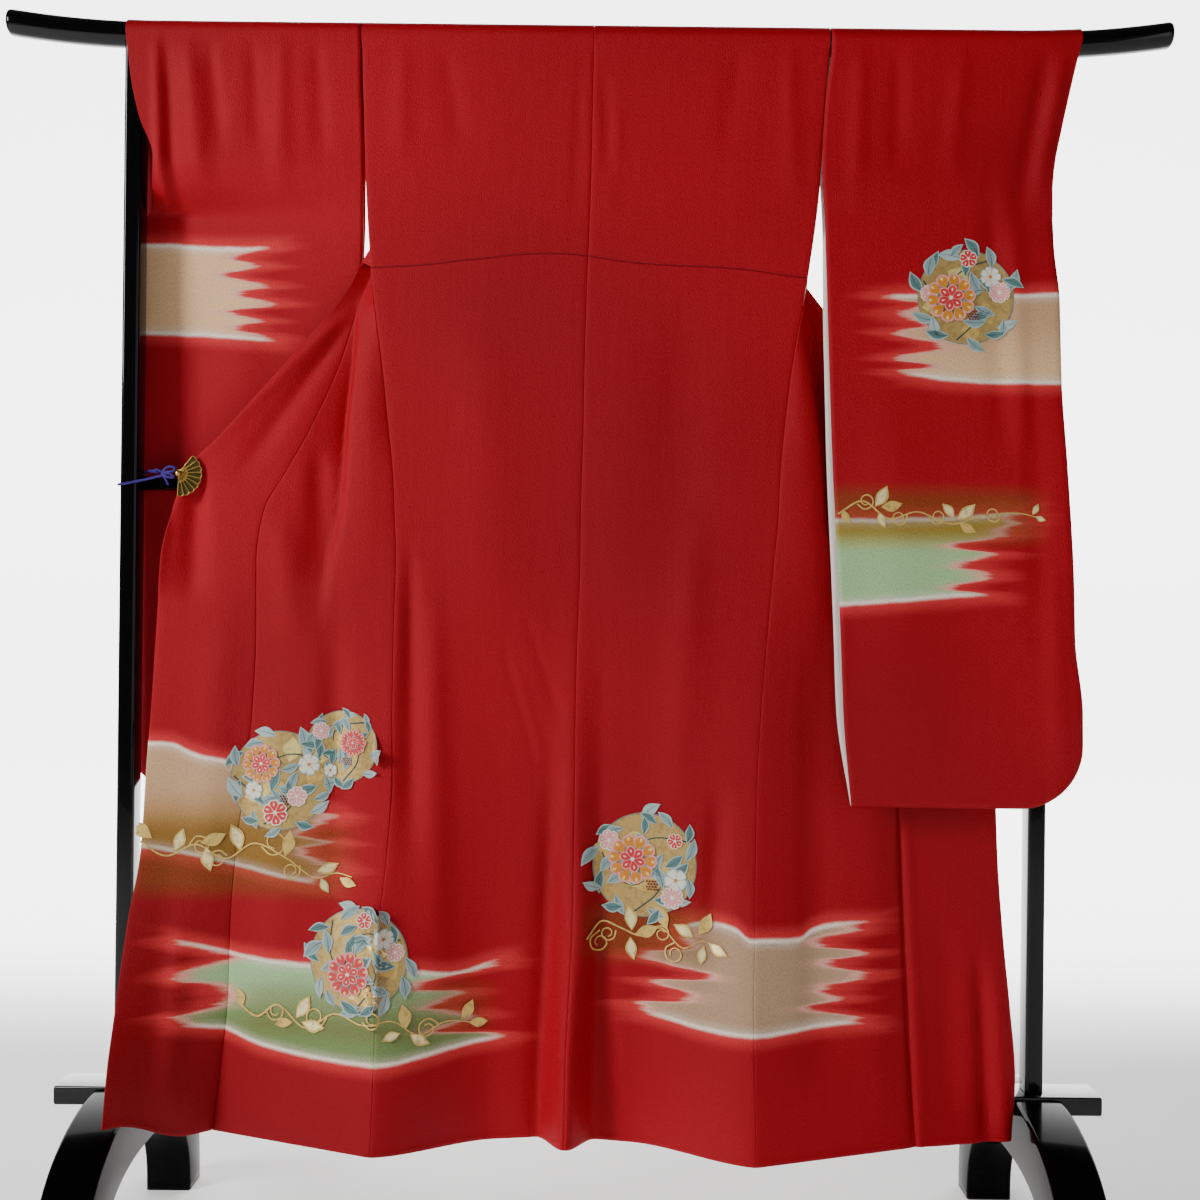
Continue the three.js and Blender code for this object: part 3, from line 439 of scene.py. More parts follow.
def tube_quads(stations, around, start=0):
    """Corner numbers of the quads of a tube of rings, each with so many points around."""
    i = np.arange(stations - 1)[:, None] * around + start
    j = np.arange(around)
    k = (j + 1) % around
    return np.stack([i + j, i + k, i + k + around, i + j + around], axis=2).reshape(-1, 4)


def rim_quads(quads, count):
    """Quads from the open edges of a side to the same edges of the side count numbers on."""
    edges = np.concatenate([quads[:, [i, (i + 1) % 4]] for i in range(4)])
    edges = edges[edges[:, 0] != edges[:, 1]]
    code = edges[:, 0] * count + edges[:, 1]
    back = edges[:, 1] * count + edges[:, 0]
    v, w = edges[~np.isin(code, back)].T
    return np.stack([v, v + count, w + count, w], axis=1)


def unit(vectors):
    """The same directions with length 1."""
    return vectors / np.maximum(np.linalg.norm(vectors, axis=1, keepdims=True), 1e-9)


def shell(name, layers, thickness, outer, inner, fold=(0, 0, 1)):
    """A cloth of even thickness on one or more grids that may share edges.

    Each layer is (grid of points, normals, grid of cut places). Every point goes half the
    thickness to both sides along its normal, points in one place become one, and the open
    edges get a rim. The second side shows the lining.
    """
    points = np.concatenate([g.reshape(-1, 3) for g, _, _ in layers])
    normals = np.concatenate([n.reshape(-1, 3) for _, n, _ in layers])
    cut = np.concatenate([c.reshape(-1, 2) for _, _, c in layers])
    quads = []
    start = 0
    for g, _, _ in layers:
        quads.append(grid_quads(g.shape[0], g.shape[1], start))
        start += g.shape[0] * g.shape[1]
    quads = np.concatenate(quads)
    key = np.round(points * 200).astype(np.int64)
    _, first, number = np.unique(key, axis=0, return_index=True, return_inverse=True)
    number = number.ravel()
    count = len(first)
    summed = np.zeros((count, 3))
    np.add.at(summed, number, normals)
    long = np.linalg.norm(summed, axis=1, keepdims=True)
    summed = np.where(long > 0.1, summed, np.array(fold, float))
    summed /= np.linalg.norm(summed, axis=1, keepdims=True)
    middle = points[first]
    both = np.concatenate([middle + summed * thickness / 2, middle - summed * thickness / 2])
    quads = number[quads]
    faces = []
    shade = []
    sides = [(quads, 0), (quads[:, ::-1] + count, 1 if inner else 0), (rim_quads(quads, count), 0)]
    for some, material in sides:
        whole = [[c for i, c in enumerate(face) if c != face[i - 1]] for face in some.tolist()]
        whole = [face for face in whole if len(face) > 2]
        faces += whole
        shade += [material] * len(whole)
    uv = np.concatenate([cut[first], cut[first]])
    materials = [outer, inner] if inner else [outer]
    return build(name, both, faces, materials, shade, uv)


def spots(wide, step, near=(0, 1.2, 2.6, 4.6, 7.6)):
    """Places from 0 to 1 across a panel: even steps, and closer ones beside both seams."""
    fine = np.array(near) / wide
    even = np.linspace(0, 1, max(4, int(wide / step)))
    even = even[(even > fine[-1] * 1.25) & (even < 1 - fine[-1] * 1.25)]
    return np.concatenate([fine, even, 1 - fine[::-1]])


def draw_in(grid):
    """A panel's end columns stop short of the seam lines, by the length SEAM."""
    for j, inner in ((0, 1), (-1, -2)):
        step = grid[:, inner] - grid[:, j]
        size = np.maximum(np.linalg.norm(step, axis=1, keepdims=True), 1e-6)
        grid[:, j] += step * SEAM / size
    return grid


def lift(grid):
    """Raises cloth near the bar where the bar's ends curve up."""
    past = np.maximum(0, np.abs(grid[..., 0]) - BAR_BEND) / (BAR_HALF - BAR_BEND)
    grid[..., 2] += BAR_RISE * past**2 * ease(1500, 1690, grid[..., 2])
    return grid


def clear_of_bar(z):
    """1 below the bar and 0 at it: seams and folds fade out there."""
    return 1 - ease(*BAR_FADE, z)


def wrap_rows(x, turns):
    """Rows of cloth round the bar: at each turn, an angle in degrees on the bar's oval."""
    a = np.radians(turns)[:, None]
    x = np.broadcast_to(x, (len(turns), x.shape[-1]))
    y = -WRAP_DEEP * np.cos(a) + 0 * x
    z = BAR_Z + WRAP_HIGH * np.sin(a) + 0 * x
    return np.stack([x, y, z], axis=2)


def wrap_cut(x, turns, z=BAR_Z):
    """Cut places of the same rows: the height goes on with the length round the bar."""
    x = np.broadcast_to(x, (len(turns), x.shape[-1]))
    return np.stack([x, z + np.radians(turns)[:, None] * WRAP_DEEP + 0 * x], axis=2)


def to_hem(z, hem):
    """Heights below HEM_SOFT are stretched so that the lowest row is the hem's own height."""
    return np.where(z >= HEM_SOFT, z, mix(hem, HEM_SOFT, (z - HEM) / (HEM_SOFT - HEM)))


def heights(low, high, step, fine=()):
    """Row heights from low to high in even steps, with closer rows where fine names them."""
    even = np.linspace(low, high, int((high - low) / step) + 1)
    return np.unique(np.concatenate([even, np.array(fine, float)]))


ROW_STEP = 7
COLUMN_STEP = 6.5
HEM_ROWS = [HEM, HEM + 1.2, HEM + 2.6, HEM + 4, HEM + 5.5]
# A sleeve's even columns end so far from its outer edge, and closer ones follow
OUTER_EDGE = 14
OUTER_COLUMNS = [9, 6, 3.6, 1.8, 0.6, 0]
# Angles round the bar of the fronts' rows there, from the far side on to the shoulder line
FRONT_TURNS = np.array([173, 166, 159, 152, 146, SHOULDER_TURN])


def back_point(q, z):
    """The back at q (-1 left side seam, 0 centre seam, 1 right side seam) and height z: the
    seams' places mixed, and a hollow between them that is steepest beside the centre."""
    t = np.abs(q)
    x = mix(BACK("centre", z), np.where(q < 0, BACK("left", z), BACK("right", z)), t)
    side_out = np.where(q < 0, BACK("leftOut", z), BACK("rightOut", z))
    out = mix(BACK("centreOut", z), side_out, t)
    sink = ease(0, 0.16, t) * (1 - ease(0.36, 1, t)) * BACK("hollow", z)
    return x, sink - out, z


def side_place(side, z):
    """Where the front's side edge is: on the back's side seam, and above the armpit free."""
    free = z > ARMPIT
    x = np.where(free, SLIT(side, z), BACK(side, z))
    y = np.where(free, SLIT("y", z), -BACK(side + "Out", z))
    outward = -1 if side == "left" else 1
    return x + outward * SLIT_GAP * ease(*SLIT_OPENS, z), y


def front_point(side, t, z):
    """A front at t (0 side edge, 1 okumi seam, 2 front edge) and height z: straight lines
    between those three places, a swell to the hidden side, and a pleat by the side seam."""
    rows = FRONT_LEFT if side == "left" else FRONT_RIGHT
    outward = -1 if side == "left" else 1
    part = {name: rows(name, z) for name in FRONT_COLUMNS[1:]}
    side_x, side_y = side_place(side, z)
    inner = t <= 1
    s = np.where(inner, t, t - 1)
    x = mix(np.where(inner, side_x, part["seamX"]), np.where(inner, part["seamX"], part["edgeX"]), s)
    y = mix(np.where(inner, side_y, part["seamY"]), np.where(inner, part["seamY"], part["edgeY"]), s)
    line_x = part["edgeX"] - side_x
    line_y = part["edgeY"] - side_y
    size = np.hypot(line_x, line_y)
    share = mix(0.62, 1, ease(ARMPIT, 1450, z))
    whole = np.where(inner, t * share, mix(share, 1, s))
    swell = part["swell"] * np.sin(np.pi * whole)
    x = x + swell * -outward * line_y / size
    y = y + swell * outward * line_x / size
    past = (x - part["pleatX"]) * outward
    y = y + part["pleat"] * ease(-4, 6, past) * np.exp(-np.maximum(0, past) / PLEAT_LONG)
    strip = np.clip((x - side_x) / (part["pleatX"] - side_x), 0, 1)
    y = y - 0.2 * part["pleat"] * np.sin(np.pi * strip)
    seam_hem, edge_hem = HEM_HEIGHT[side]
    hem = np.where(inner, mix(HEM, seam_hem, t), mix(seam_hem, edge_hem, ease(0.2, 0.9, t - 1)))
    return x, y, to_hem(z, hem)


def seam_sink(q, wide):
    """How far the cloth sinks beside a panel's two seams: an exponential from each end."""
    d = np.minimum(q, 1 - q) * wide
    return SEAM_SINK * np.exp(-d / SEAM_SOFT)


def hem_roll(z):
    """The hem's rolled edge: a low swell just above it."""
    return HEM_ROLL * np.exp(-(((z - HEM - 4) / 3) ** 2))


def join_wrap(body, cut, x, turns):
    """Rows up to the bar, followed by rows round it, as points and places on the cut."""
    grid = lift(np.concatenate([body, wrap_rows(x, turns)]))
    return grid, np.concatenate([cut, wrap_cut(x, turns)])


def back_panel(side):
    """One back body: rows from the hem to the bar, then round the bar to its far side."""
    q = spots(BACK_WIDE, COLUMN_STEP)[None, :]
    signed = q - 1 if side == "left" else q
    z = heights(HEM, BAR_Z, ROW_STEP, HEM_ROWS)[:, None]
    x, y, zz = back_point(signed, z + 0 * q)
    fade = clear_of_bar(zz)
    y = y + (seam_sink(q, BACK_WIDE) - folds(FOLDS_BACK, x, zz) - hem_roll(zz)) * fade
    turns = np.arange(9, SHOULDER_TURN + 1, 9.0)
    turns[-1] = SHOULDER_TURN
    top = x[-1:]
    grid, cut = join_wrap(np.stack([x, y, zz], axis=2), np.stack([x, zz], axis=2), top, turns)
    return draw_in(grid), cut


def front_panel(side):
    """A front with its okumi, from the hem up the far side to the bar and round to the
    shoulder line, as one grid from the side edge to the front edge."""
    t_front = spots(FRONT_WIDE, COLUMN_STEP)
    t_okumi = spots(OKUMI_WIDE, COLUMN_STEP) + 1
    t = np.concatenate([t_front, t_okumi[1:]])[None, :]
    z = heights(HEM, BAR_Z, ROW_STEP, HEM_ROWS)[:, None]
    x, y, zz = front_point(side, t, z + 0 * t)
    near = seam_sink(np.where(t <= 1, t, 1), FRONT_WIDE) - SEAM_SINK
    near = near + seam_sink(np.where(t > 1, t - 1, 1), OKUMI_WIDE)
    rows = FOLDS_FRONT_LEFT if side == "left" else FOLDS_FRONT_RIGHT
    low = 1 - ease(1300, 1345, zz)
    y = y + (near - folds(rows, x, zz) - hem_roll(z)) * low
    side_x = SLIT(side, BAR_Z)
    table = FRONT_LEFT if side == "left" else FRONT_RIGHT
    seam_x, edge_x = table("seamX", BAR_Z), table("edgeX", BAR_Z)
    base = np.where(t <= 1, mix(side_x, seam_x, t), mix(seam_x, edge_x, t - 1))
    reach = (180 - FRONT_TURNS)[:, None] * 0.3 * np.sign(side_x - edge_x)
    over = wrap_rows(base[0], FRONT_TURNS)
    over[..., 0] -= reach * np.clip(t, 0, 1) ** 3
    grid = lift(np.concatenate([np.stack([x, y, zz], axis=2), over]))
    past = wrap_cut(base[0], 180 - FRONT_TURNS)
    cut = np.concatenate([np.stack([x, z + 0 * x], axis=2), past])
    return grid, cut, len(t_front), z.ravel()


def turned(side, grid):
    """Columns in the order that makes the outer face point out of the garment."""
    return grid[:, ::-1] if side == "left" else grid


def sleeve_layer(rows, layer, u, z, bottom, fold_rows):
    """A sleeve's near or far layer at u (0 inner edge, 1 outer edge): straight across, its
    outer lower corner a circle's quarter, and closed to the other layer along the folds."""
    other = "far" if layer == "near" else "near"
    outward = 1 if rows("nearOutX", 0) > rows("nearInX", 0) else -1
    drop = np.clip(SLEEVE_CORNER - (z - bottom), 0, SLEEVE_CORNER)
    out_x = rows(layer + "OutX", z)
    out_x = out_x - outward * (SLEEVE_CORNER - np.sqrt(SLEEVE_CORNER**2 - drop**2))
    x = mix(rows(layer + "InX", z), out_x, u)
    y = mix(rows(layer + "InY", z), rows(layer + "OutY", z), u)
    other_y = mix(rows(other + "InY", z), rows(other + "OutY", z), u)
    from_side = np.where(z > WRIST, EDGE_ROUND, np.abs(out_x - x))

    def rounded(d):
        return np.sqrt(1 - (1 - np.clip(d / EDGE_ROUND, 0, 1)) ** 2)

    open_share = rounded(from_side) * rounded(z - bottom)
    puff = SLEEVE_PUFF * (-1 if layer == "near" else 1) * (1 - ease(1480, 1600, z))
    fade = clear_of_bar(z) * ease(0, 40, z - bottom) * open_share
    relief = folds(fold_rows, x, z) * fade
    y = mix((y + other_y) / 2, y, open_share) + open_share * puff - relief
    return np.stack([x, y, z + 0 * x], axis=2)


def sleeve(name, rows, bottom, fold_rows, outer, inner):
    """A sleeve: two layers that meet over the bar, along the bottom and below the wrist."""
    z = heights(bottom, BAR_Z, ROW_STEP, [bottom + d for d in (0.6, 1.6, 3, 5, 7, 9)] + [WRIST])
    z = z[:, None]
    even = np.linspace(0, 1 - OUTER_EDGE / SLEEVE_WIDE, 52)
    u = np.concatenate([even, 1 - np.array(OUTER_COLUMNS) / SLEEVE_WIDE])[None, :]
    turns = np.arange(9, 91, 9.0)
    left = rows("nearOutX", 0) < 0
    layers = []
    for layer in ("near", "far"):
        body = sleeve_layer(rows, layer, u, z + 0 * u, bottom, fold_rows)
        x = body[-1, :, 0]
        angles = turns if layer == "near" else 180 - turns
        over = wrap_rows(x, angles)
        crest = sleeve_layer(rows, "near", u, z[-1:] + 0 * u, bottom, fold_rows)[0, :, 0]
        share = (turns / 90)[:, None]
        over[..., 0] = mix(x[None, :], crest[None, :], share)
        grid = lift(np.concatenate([body, over]))
        cut = np.concatenate([body[..., [0, 2]], wrap_cut(x, turns)])
        if (layer == "near") == left:
            grid, cut = grid[:, ::-1], cut[:, ::-1]
        layers.append((grid, normal_of(grid), cut))
    fold = (-1 if left else 1, 0, -1)
    piece = shell(name, layers, CLOTH, outer, inner, fold)
    return piece, layers


def smooth_line(points, count):
    """A smooth line through points (Catmull-Rom), cut into count equal parameter steps."""
    p = np.asarray(points, float)
    p = np.concatenate([2 * p[:1] - p[1:2], p, 2 * p[-1:] - p[-2:-1]])
    s = np.linspace(0, len(p) - 3, count)
    i = np.minimum(s.astype(int), len(p) - 4)
    t = (s - i)[:, None]
    a, b, c, d = p[i], p[i + 1], p[i + 2], p[i + 3]
    return 0.5 * (
        2 * b + (c - a) * t + (2 * a - 5 * b + 4 * c - d) * t**2 + (3 * b - a - 3 * c + d) * t**3
    )


def run_along(points):
    """The length of a line from its first point to each of its points."""
    return np.concatenate([[0], np.cumsum(np.linalg.norm(np.diff(points, axis=0), axis=1))])


def even_line(points, count):
    """The same smooth line, cut into count equal lengths."""
    fine = smooth_line(points, 20 * len(points))
    run = run_along(fine)
    want = np.linspace(0, run[-1], count)
    return np.stack([np.interp(want, run, column) for column in fine.T], axis=1)


def sweep(name, centres, first, second, profile, materials):
    """A profile carried along a line: at each station, profile x times the first axis plus
    profile y times the second axis. The axes may be given once or for each station."""
    centres = np.asarray(centres, float)
    count = len(centres)
    profile = np.broadcast_to(profile, (count, *np.shape(profile)[-2:]))
    first = np.broadcast_to(first, (count, 3))[:, None, :]
    second = np.broadcast_to(second, (count, 3))[:, None, :]
    points = centres[:, None, :] + profile[..., :1] * first + profile[..., 1:] * second
    around = points.shape[1]
    faces = tube_quads(count, around).tolist()
    faces.append(list(range(around))[::-1])
    faces.append([(count - 1) * around + n for n in range(around)])
    piece = build(name, points.reshape(-1, 3), faces, materials)
    face_out(piece)
    return piece


def face_out(piece):
    """Turns the faces of a closed piece outwards, if its volume comes out negative."""
    mesh = piece.data
    co = np.zeros(len(mesh.vertices) * 3, np.float32)
    mesh.vertices.foreach_get("co", co)
    co = co.reshape(-1, 3)
    mesh.calc_loop_triangles()
    corners = np.zeros(len(mesh.loop_triangles) * 3, np.int32)
    mesh.loop_triangles.foreach_get("vertices", corners)
    a, b, c = co[corners.reshape(-1, 3)].transpose(1, 0, 2)
    if np.einsum("ij,ij->", a, np.cross(b, c)) < 0:
        mesh.flip_normals()


def rounded_rectangle(wide, high, radius, steps=5):
    """Outline of a rectangle whose corners are circle quarters. Sizes may be arrays."""
    angle = np.concatenate([np.linspace(s, s + 90, steps) for s in (0, 90, 180, 270)])
    angle = np.radians(angle)
    sign_x = np.repeat([1, -1, -1, 1], steps)
    sign_y = np.repeat([1, 1, -1, -1], steps)
    wide, high = np.asarray(wide)[..., None], np.asarray(high)[..., None]
    x = sign_x * (wide / 2 - radius) + radius * np.cos(angle)
    y = sign_y * (high / 2 - radius) + radius * np.sin(angle)
    return np.stack([x, y + 0 * x], axis=-1)


# Materials


def colour(r, g, b):
    """A colour from its 0 to 255 display values, as linear light with alpha."""
    c = np.array([r, g, b]) / 255
    c = np.where(c <= 0.04045, c / 12.92, ((c + 0.055) / 1.055) ** 2.4)
    return (*c.tolist(), 1.0)


class Value:
    """A number socket in a material, on which +, -, *, / add the Math node they need."""

    def __init__(self, finish, socket):
        self.finish = finish
        self.socket = socket

    def maths(self, operation, a, b, c=None):
        """The Math node that works this operation on two or three inputs."""
        inputs = {0: a, 1: b} if c is None else {0: a, 1: b, 2: c}
        return self.finish.node("ShaderNodeMath", {"operation": operation}, inputs)

    def __add__(self, other):
        return self.maths("ADD", self, other)

    def __radd__(self, other):
        return self.maths("ADD", other, self)

    def __sub__(self, other):
        return self.maths("SUBTRACT", self, other)

    def __rsub__(self, other):
        return self.maths("SUBTRACT", other, self)

    def __mul__(self, other):
        return self.maths("MULTIPLY", self, other)

    def __rmul__(self, other):
        return self.maths("MULTIPLY", other, self)

    def __truediv__(self, other):
        return self.maths("DIVIDE", self, other)

    def least(self, other, soft=0.0):
        if soft:
            return self.maths("SMOOTH_MIN", self, other, soft)
        return self.maths("MINIMUM", self, other)

    def most(self, other):
        return self.maths("MAXIMUM", self, other)


class Finish:
    """A material and the one way its nodes are added."""

    def __init__(self, name, base, roughness, **constants):
        self.material = bpy.data.materials.new(name)
        self.material.use_nodes = True
        self.tree = self.material.node_tree
        self.shader = self.tree.nodes["Principled BSDF"]
        self.shader.inputs["Base Color"].default_value = base
        self.shader.inputs["Roughness"].default_value = roughness
        for name, value in constants.items():
            self.shader.inputs[name.replace("_", " ").title()].default_value = value

    def node(self, kind, settings, inputs, output=0):
        """A new node with its settings and inputs, as the Value of one of its outputs."""
        made = self.tree.nodes.new(kind)
        for name, value in settings.items():
            if name == "curve":
                self.set_curve(made, value)
            else:
                setattr(made, name, value)
        for name, value in inputs.items():
            if isinstance(value, Value):
                self.tree.links.new(value.socket, made.inputs[name])
            else:
                made.inputs[name].default_value = value
        return Value(self, made.outputs[output])

    @staticmethod
    def set_curve(made, points):
        curve = made.mapping.curves[0]
        for x, y in points[1:-1]:
            curve.points.new(x, y)
        ordered = sorted(curve.points, key=lambda p: p.location[0])
        for point, (x, y) in zip(ordered, points):
            point.location = (x, y)
            point.handle_type = "AUTO_CLAMPED"
        made.mapping.update()

    def into(self, socket, value):
        """Links a value to one of the shader's inputs."""
        self.tree.links.new(value.socket, self.shader.inputs[socket])

    def place(self, cut=False):
        """Object coordinates, or the places on the cut of a cloth."""
        if cut:
            return self.node("ShaderNodeUVMap", {"uv_map": "cut"}, {})
        return self.node("ShaderNodeTexCoord", {}, {}, "Object")

    def axis(self, place, index):
        """One of a place's three numbers."""
        return self.node("ShaderNodeSeparateXYZ", {}, {0: place}, index)

    def stretched(self, place, scale):
        inputs = {0: place, 1: scale}
        return self.node("ShaderNodeVectorMath", {"operation": "MULTIPLY"}, inputs)

    def noise(self, place, scale, detail=2.0, rough=0.5):
        inputs = {"Vector": place, "Scale": scale, "Detail": detail, "Roughness": rough}
        return self.node("ShaderNodeTexNoise", {}, inputs)

    def soft_step(self, value, low, high, from_value=0.0, to_value=1.0):
        settings = {"interpolation_type": "SMOOTHSTEP"}
        inputs = {0: value, 1: low, 2: high, 3: from_value, 4: to_value}
        return self.node("ShaderNodeMapRange", settings, inputs)

    def tint(self, factor, a, b):
        """Colour a goes to colour b as the factor goes from 0 to 1."""
        return self.node("ShaderNodeMix", {"data_type": "RGBA"}, {0: factor, 6: a, 7: b}, 2)

    def curve(self, value, points):
        return self.node("ShaderNodeFloatCurve", {"curve": points}, {"Value": value})

    def bump(self, height, strength, distance):
        inputs = {"Strength": strength, "Distance": distance, "Height": height}
        self.into("Normal", self.node("ShaderNodeBump", {}, inputs))


RED = colour(172, 0, 24)
RED_DEEP = colour(128, 0, 12)
RED_GLOW = colour(230, 60, 62)
EDGE_PINK = colour(240, 178, 158)
EDGE_GLOW = colour(255, 240, 224)
BEIGE = colour(240, 196, 148)
BEIGE_DARK = colour(190, 156, 124)
BEIGE_GREY = colour(208, 166, 126)
BRONZE = colour(168, 122, 56)
GREEN = colour(168, 208, 150)
GREEN_DEEP = colour(122, 148, 88)
OLIVE_GOLD = colour(190, 160, 50)
HAZE = colour(84, 58, 12)
GOLD = colour(206, 162, 66)
CRINKLE_RED = colour(70, 0, 0)
# Painted shadow along the back's tuck line
TUCK_SHADOW_RED = colour(70, 0, 4)

# How fast a band's pale border closes in along its fingers, across against along
FINGER_SLOPE = 0.32

# Where a band's colours set in, in metres inside its outline, and a gold haze's soft edges
GLOW_SETS_IN = (-0.024, 0.0)
BORDER_SETS_IN = (-0.0045, 0.0015)
PALER_SETS_IN = (0.001, 0.0065)
FILL_SETS_IN = (0.005, 0.016)
HAZE_SOFT = 0.016


class Band:
    """A mist band: a box in millimetres and four edges inside it.

    top and bottom are heights at places along x, left and right are the ragged ends: how
    far each end reaches at heights, in millimetres, so that fingers come out of the ends.
    """

    def __init__(self, box, top, bottom, left, right, fill, low_fill=None, fade=(0.2, 0.7)):
        self.x0, self.x1, self.z0, self.z1 = box
        self.top, self.bottom, self.left, self.right = top, bottom, left, right
        self.fill = fill
        self.low_fill = low_fill or fill
        self.fade = fade

    def points(self, rows, across):
        """Places of an edge inside the box, as shares of its size from one end to the other."""
        wide, high = self.x1 - self.x0, self.z1 - self.z0
        if across:
            made = [((x - self.x0) / wide, (z - self.z0) / high) for x, z in rows]
        else:
            made = [((z - self.z0) / high, (x - self.x0) / wide) for z, x in rows]
        made = sorted(made)
        if made[0][0] > 0:
            made = [(0.0, made[0][1])] + made
        if made[-1][0] < 1:
            made = made + [(1.0, made[-1][1])]
        return made


def dye_band(finish, ground, band, x, z, waver, streak):
    """The ground's colour under one mist band: a red glow, a pale border and the fill."""
    wide, high = (band.x1 - band.x0) * MM, (band.z1 - band.z0) * MM
    sx = (x - band.x0 * MM) / wide
    sz = (z - band.z0 * MM) / high
    top = (finish.curve(sx, band.points(band.top, True)) - sz) * high
    low = (sz - finish.curve(sx, band.points(band.bottom, True))) * high
    left = (sx - finish.curve(sz, band.points(band.left, False))) * wide + streak
    right = (finish.curve(sz, band.points(band.right, False)) - sx) * wide + streak
    edges = top.least(low, 0.006)
    ends = (left * FINGER_SLOPE).least(right * FINGER_SLOPE, 0.004)
    inside = edges.least(ends, 0.004) + waver
    rim = finish.tint(finish.soft_step(ends - edges, -0.004, 0.006), EDGE_PINK, EDGE_GLOW)
    fill = finish.tint(finish.soft_step(sz, *band.fade), band.low_fill, band.fill)
    paler = finish.tint(0.22, fill, rim)
    ground = finish.tint(finish.soft_step(inside, *GLOW_SETS_IN) * 0.75, ground, RED_GLOW)
    ground = finish.tint(finish.soft_step(inside, *BORDER_SETS_IN), ground, rim)
    ground = finish.tint(finish.soft_step(inside, *PALER_SETS_IN), ground, paler)
    return finish.tint(finish.soft_step(inside, *FILL_SETS_IN), ground, fill)


def haze_masks(finish, cut, x, z, haze):
    """A gold haze inside soft edges: how much of it lies at a place, and its gold flecks."""
    x0, x1, z0, z1, strength = haze
    across = finish.soft_step(x, (x0 - 10) * MM, (x0 + 60) * MM)
    across = across * finish.soft_step(x, (x1 - 60) * MM, (x1 + 10) * MM, 1.0, 0.0)
    upright = finish.soft_step(z, z0 * MM - HAZE_SOFT, z0 * MM + HAZE_SOFT)
    upright = upright * finish.soft_step(z, z1 * MM - HAZE_SOFT, z1 * MM + HAZE_SOFT, 1.0, 0.0)
    mask = across * upright * strength
    dust = finish.noise(cut, 900.0, 2.0, 0.7)
    return mask, mask * finish.soft_step(dust, 0.44, 0.66)


def tuck_groove(finish, x, z, tuck):
    """A narrow line along a tuck's places: 1 on it and 0 beside it."""
    first, last = tuck[0][0], tuck[-1][0]
    low = min(row[1] for row in tuck) - 20
    span = 60
    rows = [((px - first) / (last - first), (pz - low) / span) for px, pz in tuck]
    sx = (x - first * MM) / ((last - first) * MM)
    line = finish.curve(sx, rows) * (span * MM) + low * MM
    off = finish.node("ShaderNodeMath", {"operation": "ABSOLUTE"}, {0: z - line})
    return finish.soft_step(off, 0.0004, 0.0016, 1.0, 0.0)


def crepe(name, bands=(), hazes=(), tuck=None):
    """Red silk crepe dyed with mist bands, dusted with gold haze, and painted shade on a tuck's line."""
    sheen = {"sheen_weight": 0.08, "sheen_roughness": 0.4, "sheen_tint": colour(255, 70, 60)}
    finish = Finish(name, RED, 0.62, **sheen)
    finish.shader.inputs["Specular IOR Level"].default_value = 0.2
    cut = finish.place(cut=True)
    x = finish.axis(cut, 0)
    z = finish.axis(cut, 1)
    cloud = finish.noise(cut, 1.4, 1.0)
    ground = finish.tint(finish.soft_step(cloud, 0.3, 0.75) * 0.7, RED, RED_DEEP)
    waver = (finish.noise(cut, 26.0, 3.0, 0.6) - 0.5) * 0.004
    streak = (finish.noise(finish.stretched(cut, (5.0, 90.0, 1.0)), 1.0, 3.0, 0.6) - 0.5) * 0.07
    for band in bands:
        ground = dye_band(finish, ground, band, x, z, waver, streak)
    gold_mask = None
    for haze in hazes:
        mask, flecks = haze_masks(finish, cut, x, z + waver * 2.0, haze)
        ground = finish.tint(mask * 0.6, ground, HAZE)
        ground = finish.tint(flecks * 0.35, ground, GOLD)
        gold_mask = flecks if gold_mask is None else gold_mask.most(flecks)
    if gold_mask is not None:
        finish.into("Metallic", gold_mask * 0.4)
        finish.into("Roughness", 0.62 - gold_mask * 0.2)
    crinkle = finish.noise(finish.stretched(cut, (620.0, 330.0, 1.0)), 1.0, 3.0, 0.65)
    pile = finish.noise(finish.stretched(cut, (55.0, 9.0, 1.0)), 1.0, 2.0)
    height = crinkle * 0.001 + pile * 0.0006
    ground = finish.tint(finish.soft_step(crinkle, 0.4, 0.7) * 0.26, ground, CRINKLE_RED)
    if tuck:
        # The tuck's line is darkened with painted shade, and the bump sinks it a little
        groove_and_shade = tuck_groove(finish, x, z, tuck)
        ground = finish.tint(groove_and_shade * 0.6, ground, TUCK_SHADOW_RED)
        height = height - groove_and_shade * 0.0006
    finish.into("Base Color", ground)
    finish.bump(height, 1.0, 1.0)
    return finish.material


def lining():
    """Thin plain silk lining: off-white, with a very fine weave."""
    finish = Finish("silk lining", colour(232, 224, 218), 0.6, sheen_weight=0.15)
    cut = finish.place(cut=True)
    weave = finish.noise(finish.stretched(cut, (1500.0, 900.0, 1.0)), 1.0, 1.0)
    shade = finish.noise(cut, 6.0, 2.0)
    finish.into("Base Color", finish.tint(shade, colour(238, 231, 226), colour(216, 205, 198)))
    finish.bump(weave * 0.0001, 0.5, 1.0)
    return finish.material


def lacquer(name, coat, level):
    """Black gloss lacquer: a hard clear coat over a slightly uneven black."""
    finish = Finish(name, colour(4, 4, 5), 0.16, coat_weight=coat, coat_roughness=0.04)
    finish.shader.inputs["Specular IOR Level"].default_value = level
    place = finish.place()
    cloud = finish.noise(place, 9.0, 3.0)
    finish.into("Base Color", finish.tint(cloud, colour(2, 2, 3), colour(8, 7, 9)))
    finish.into("Roughness", 0.1 + cloud * 0.1)
    finish.bump(finish.noise(place, 14.0, 2.0) * 0.0003, 0.2, 1.0)
    return finish.material


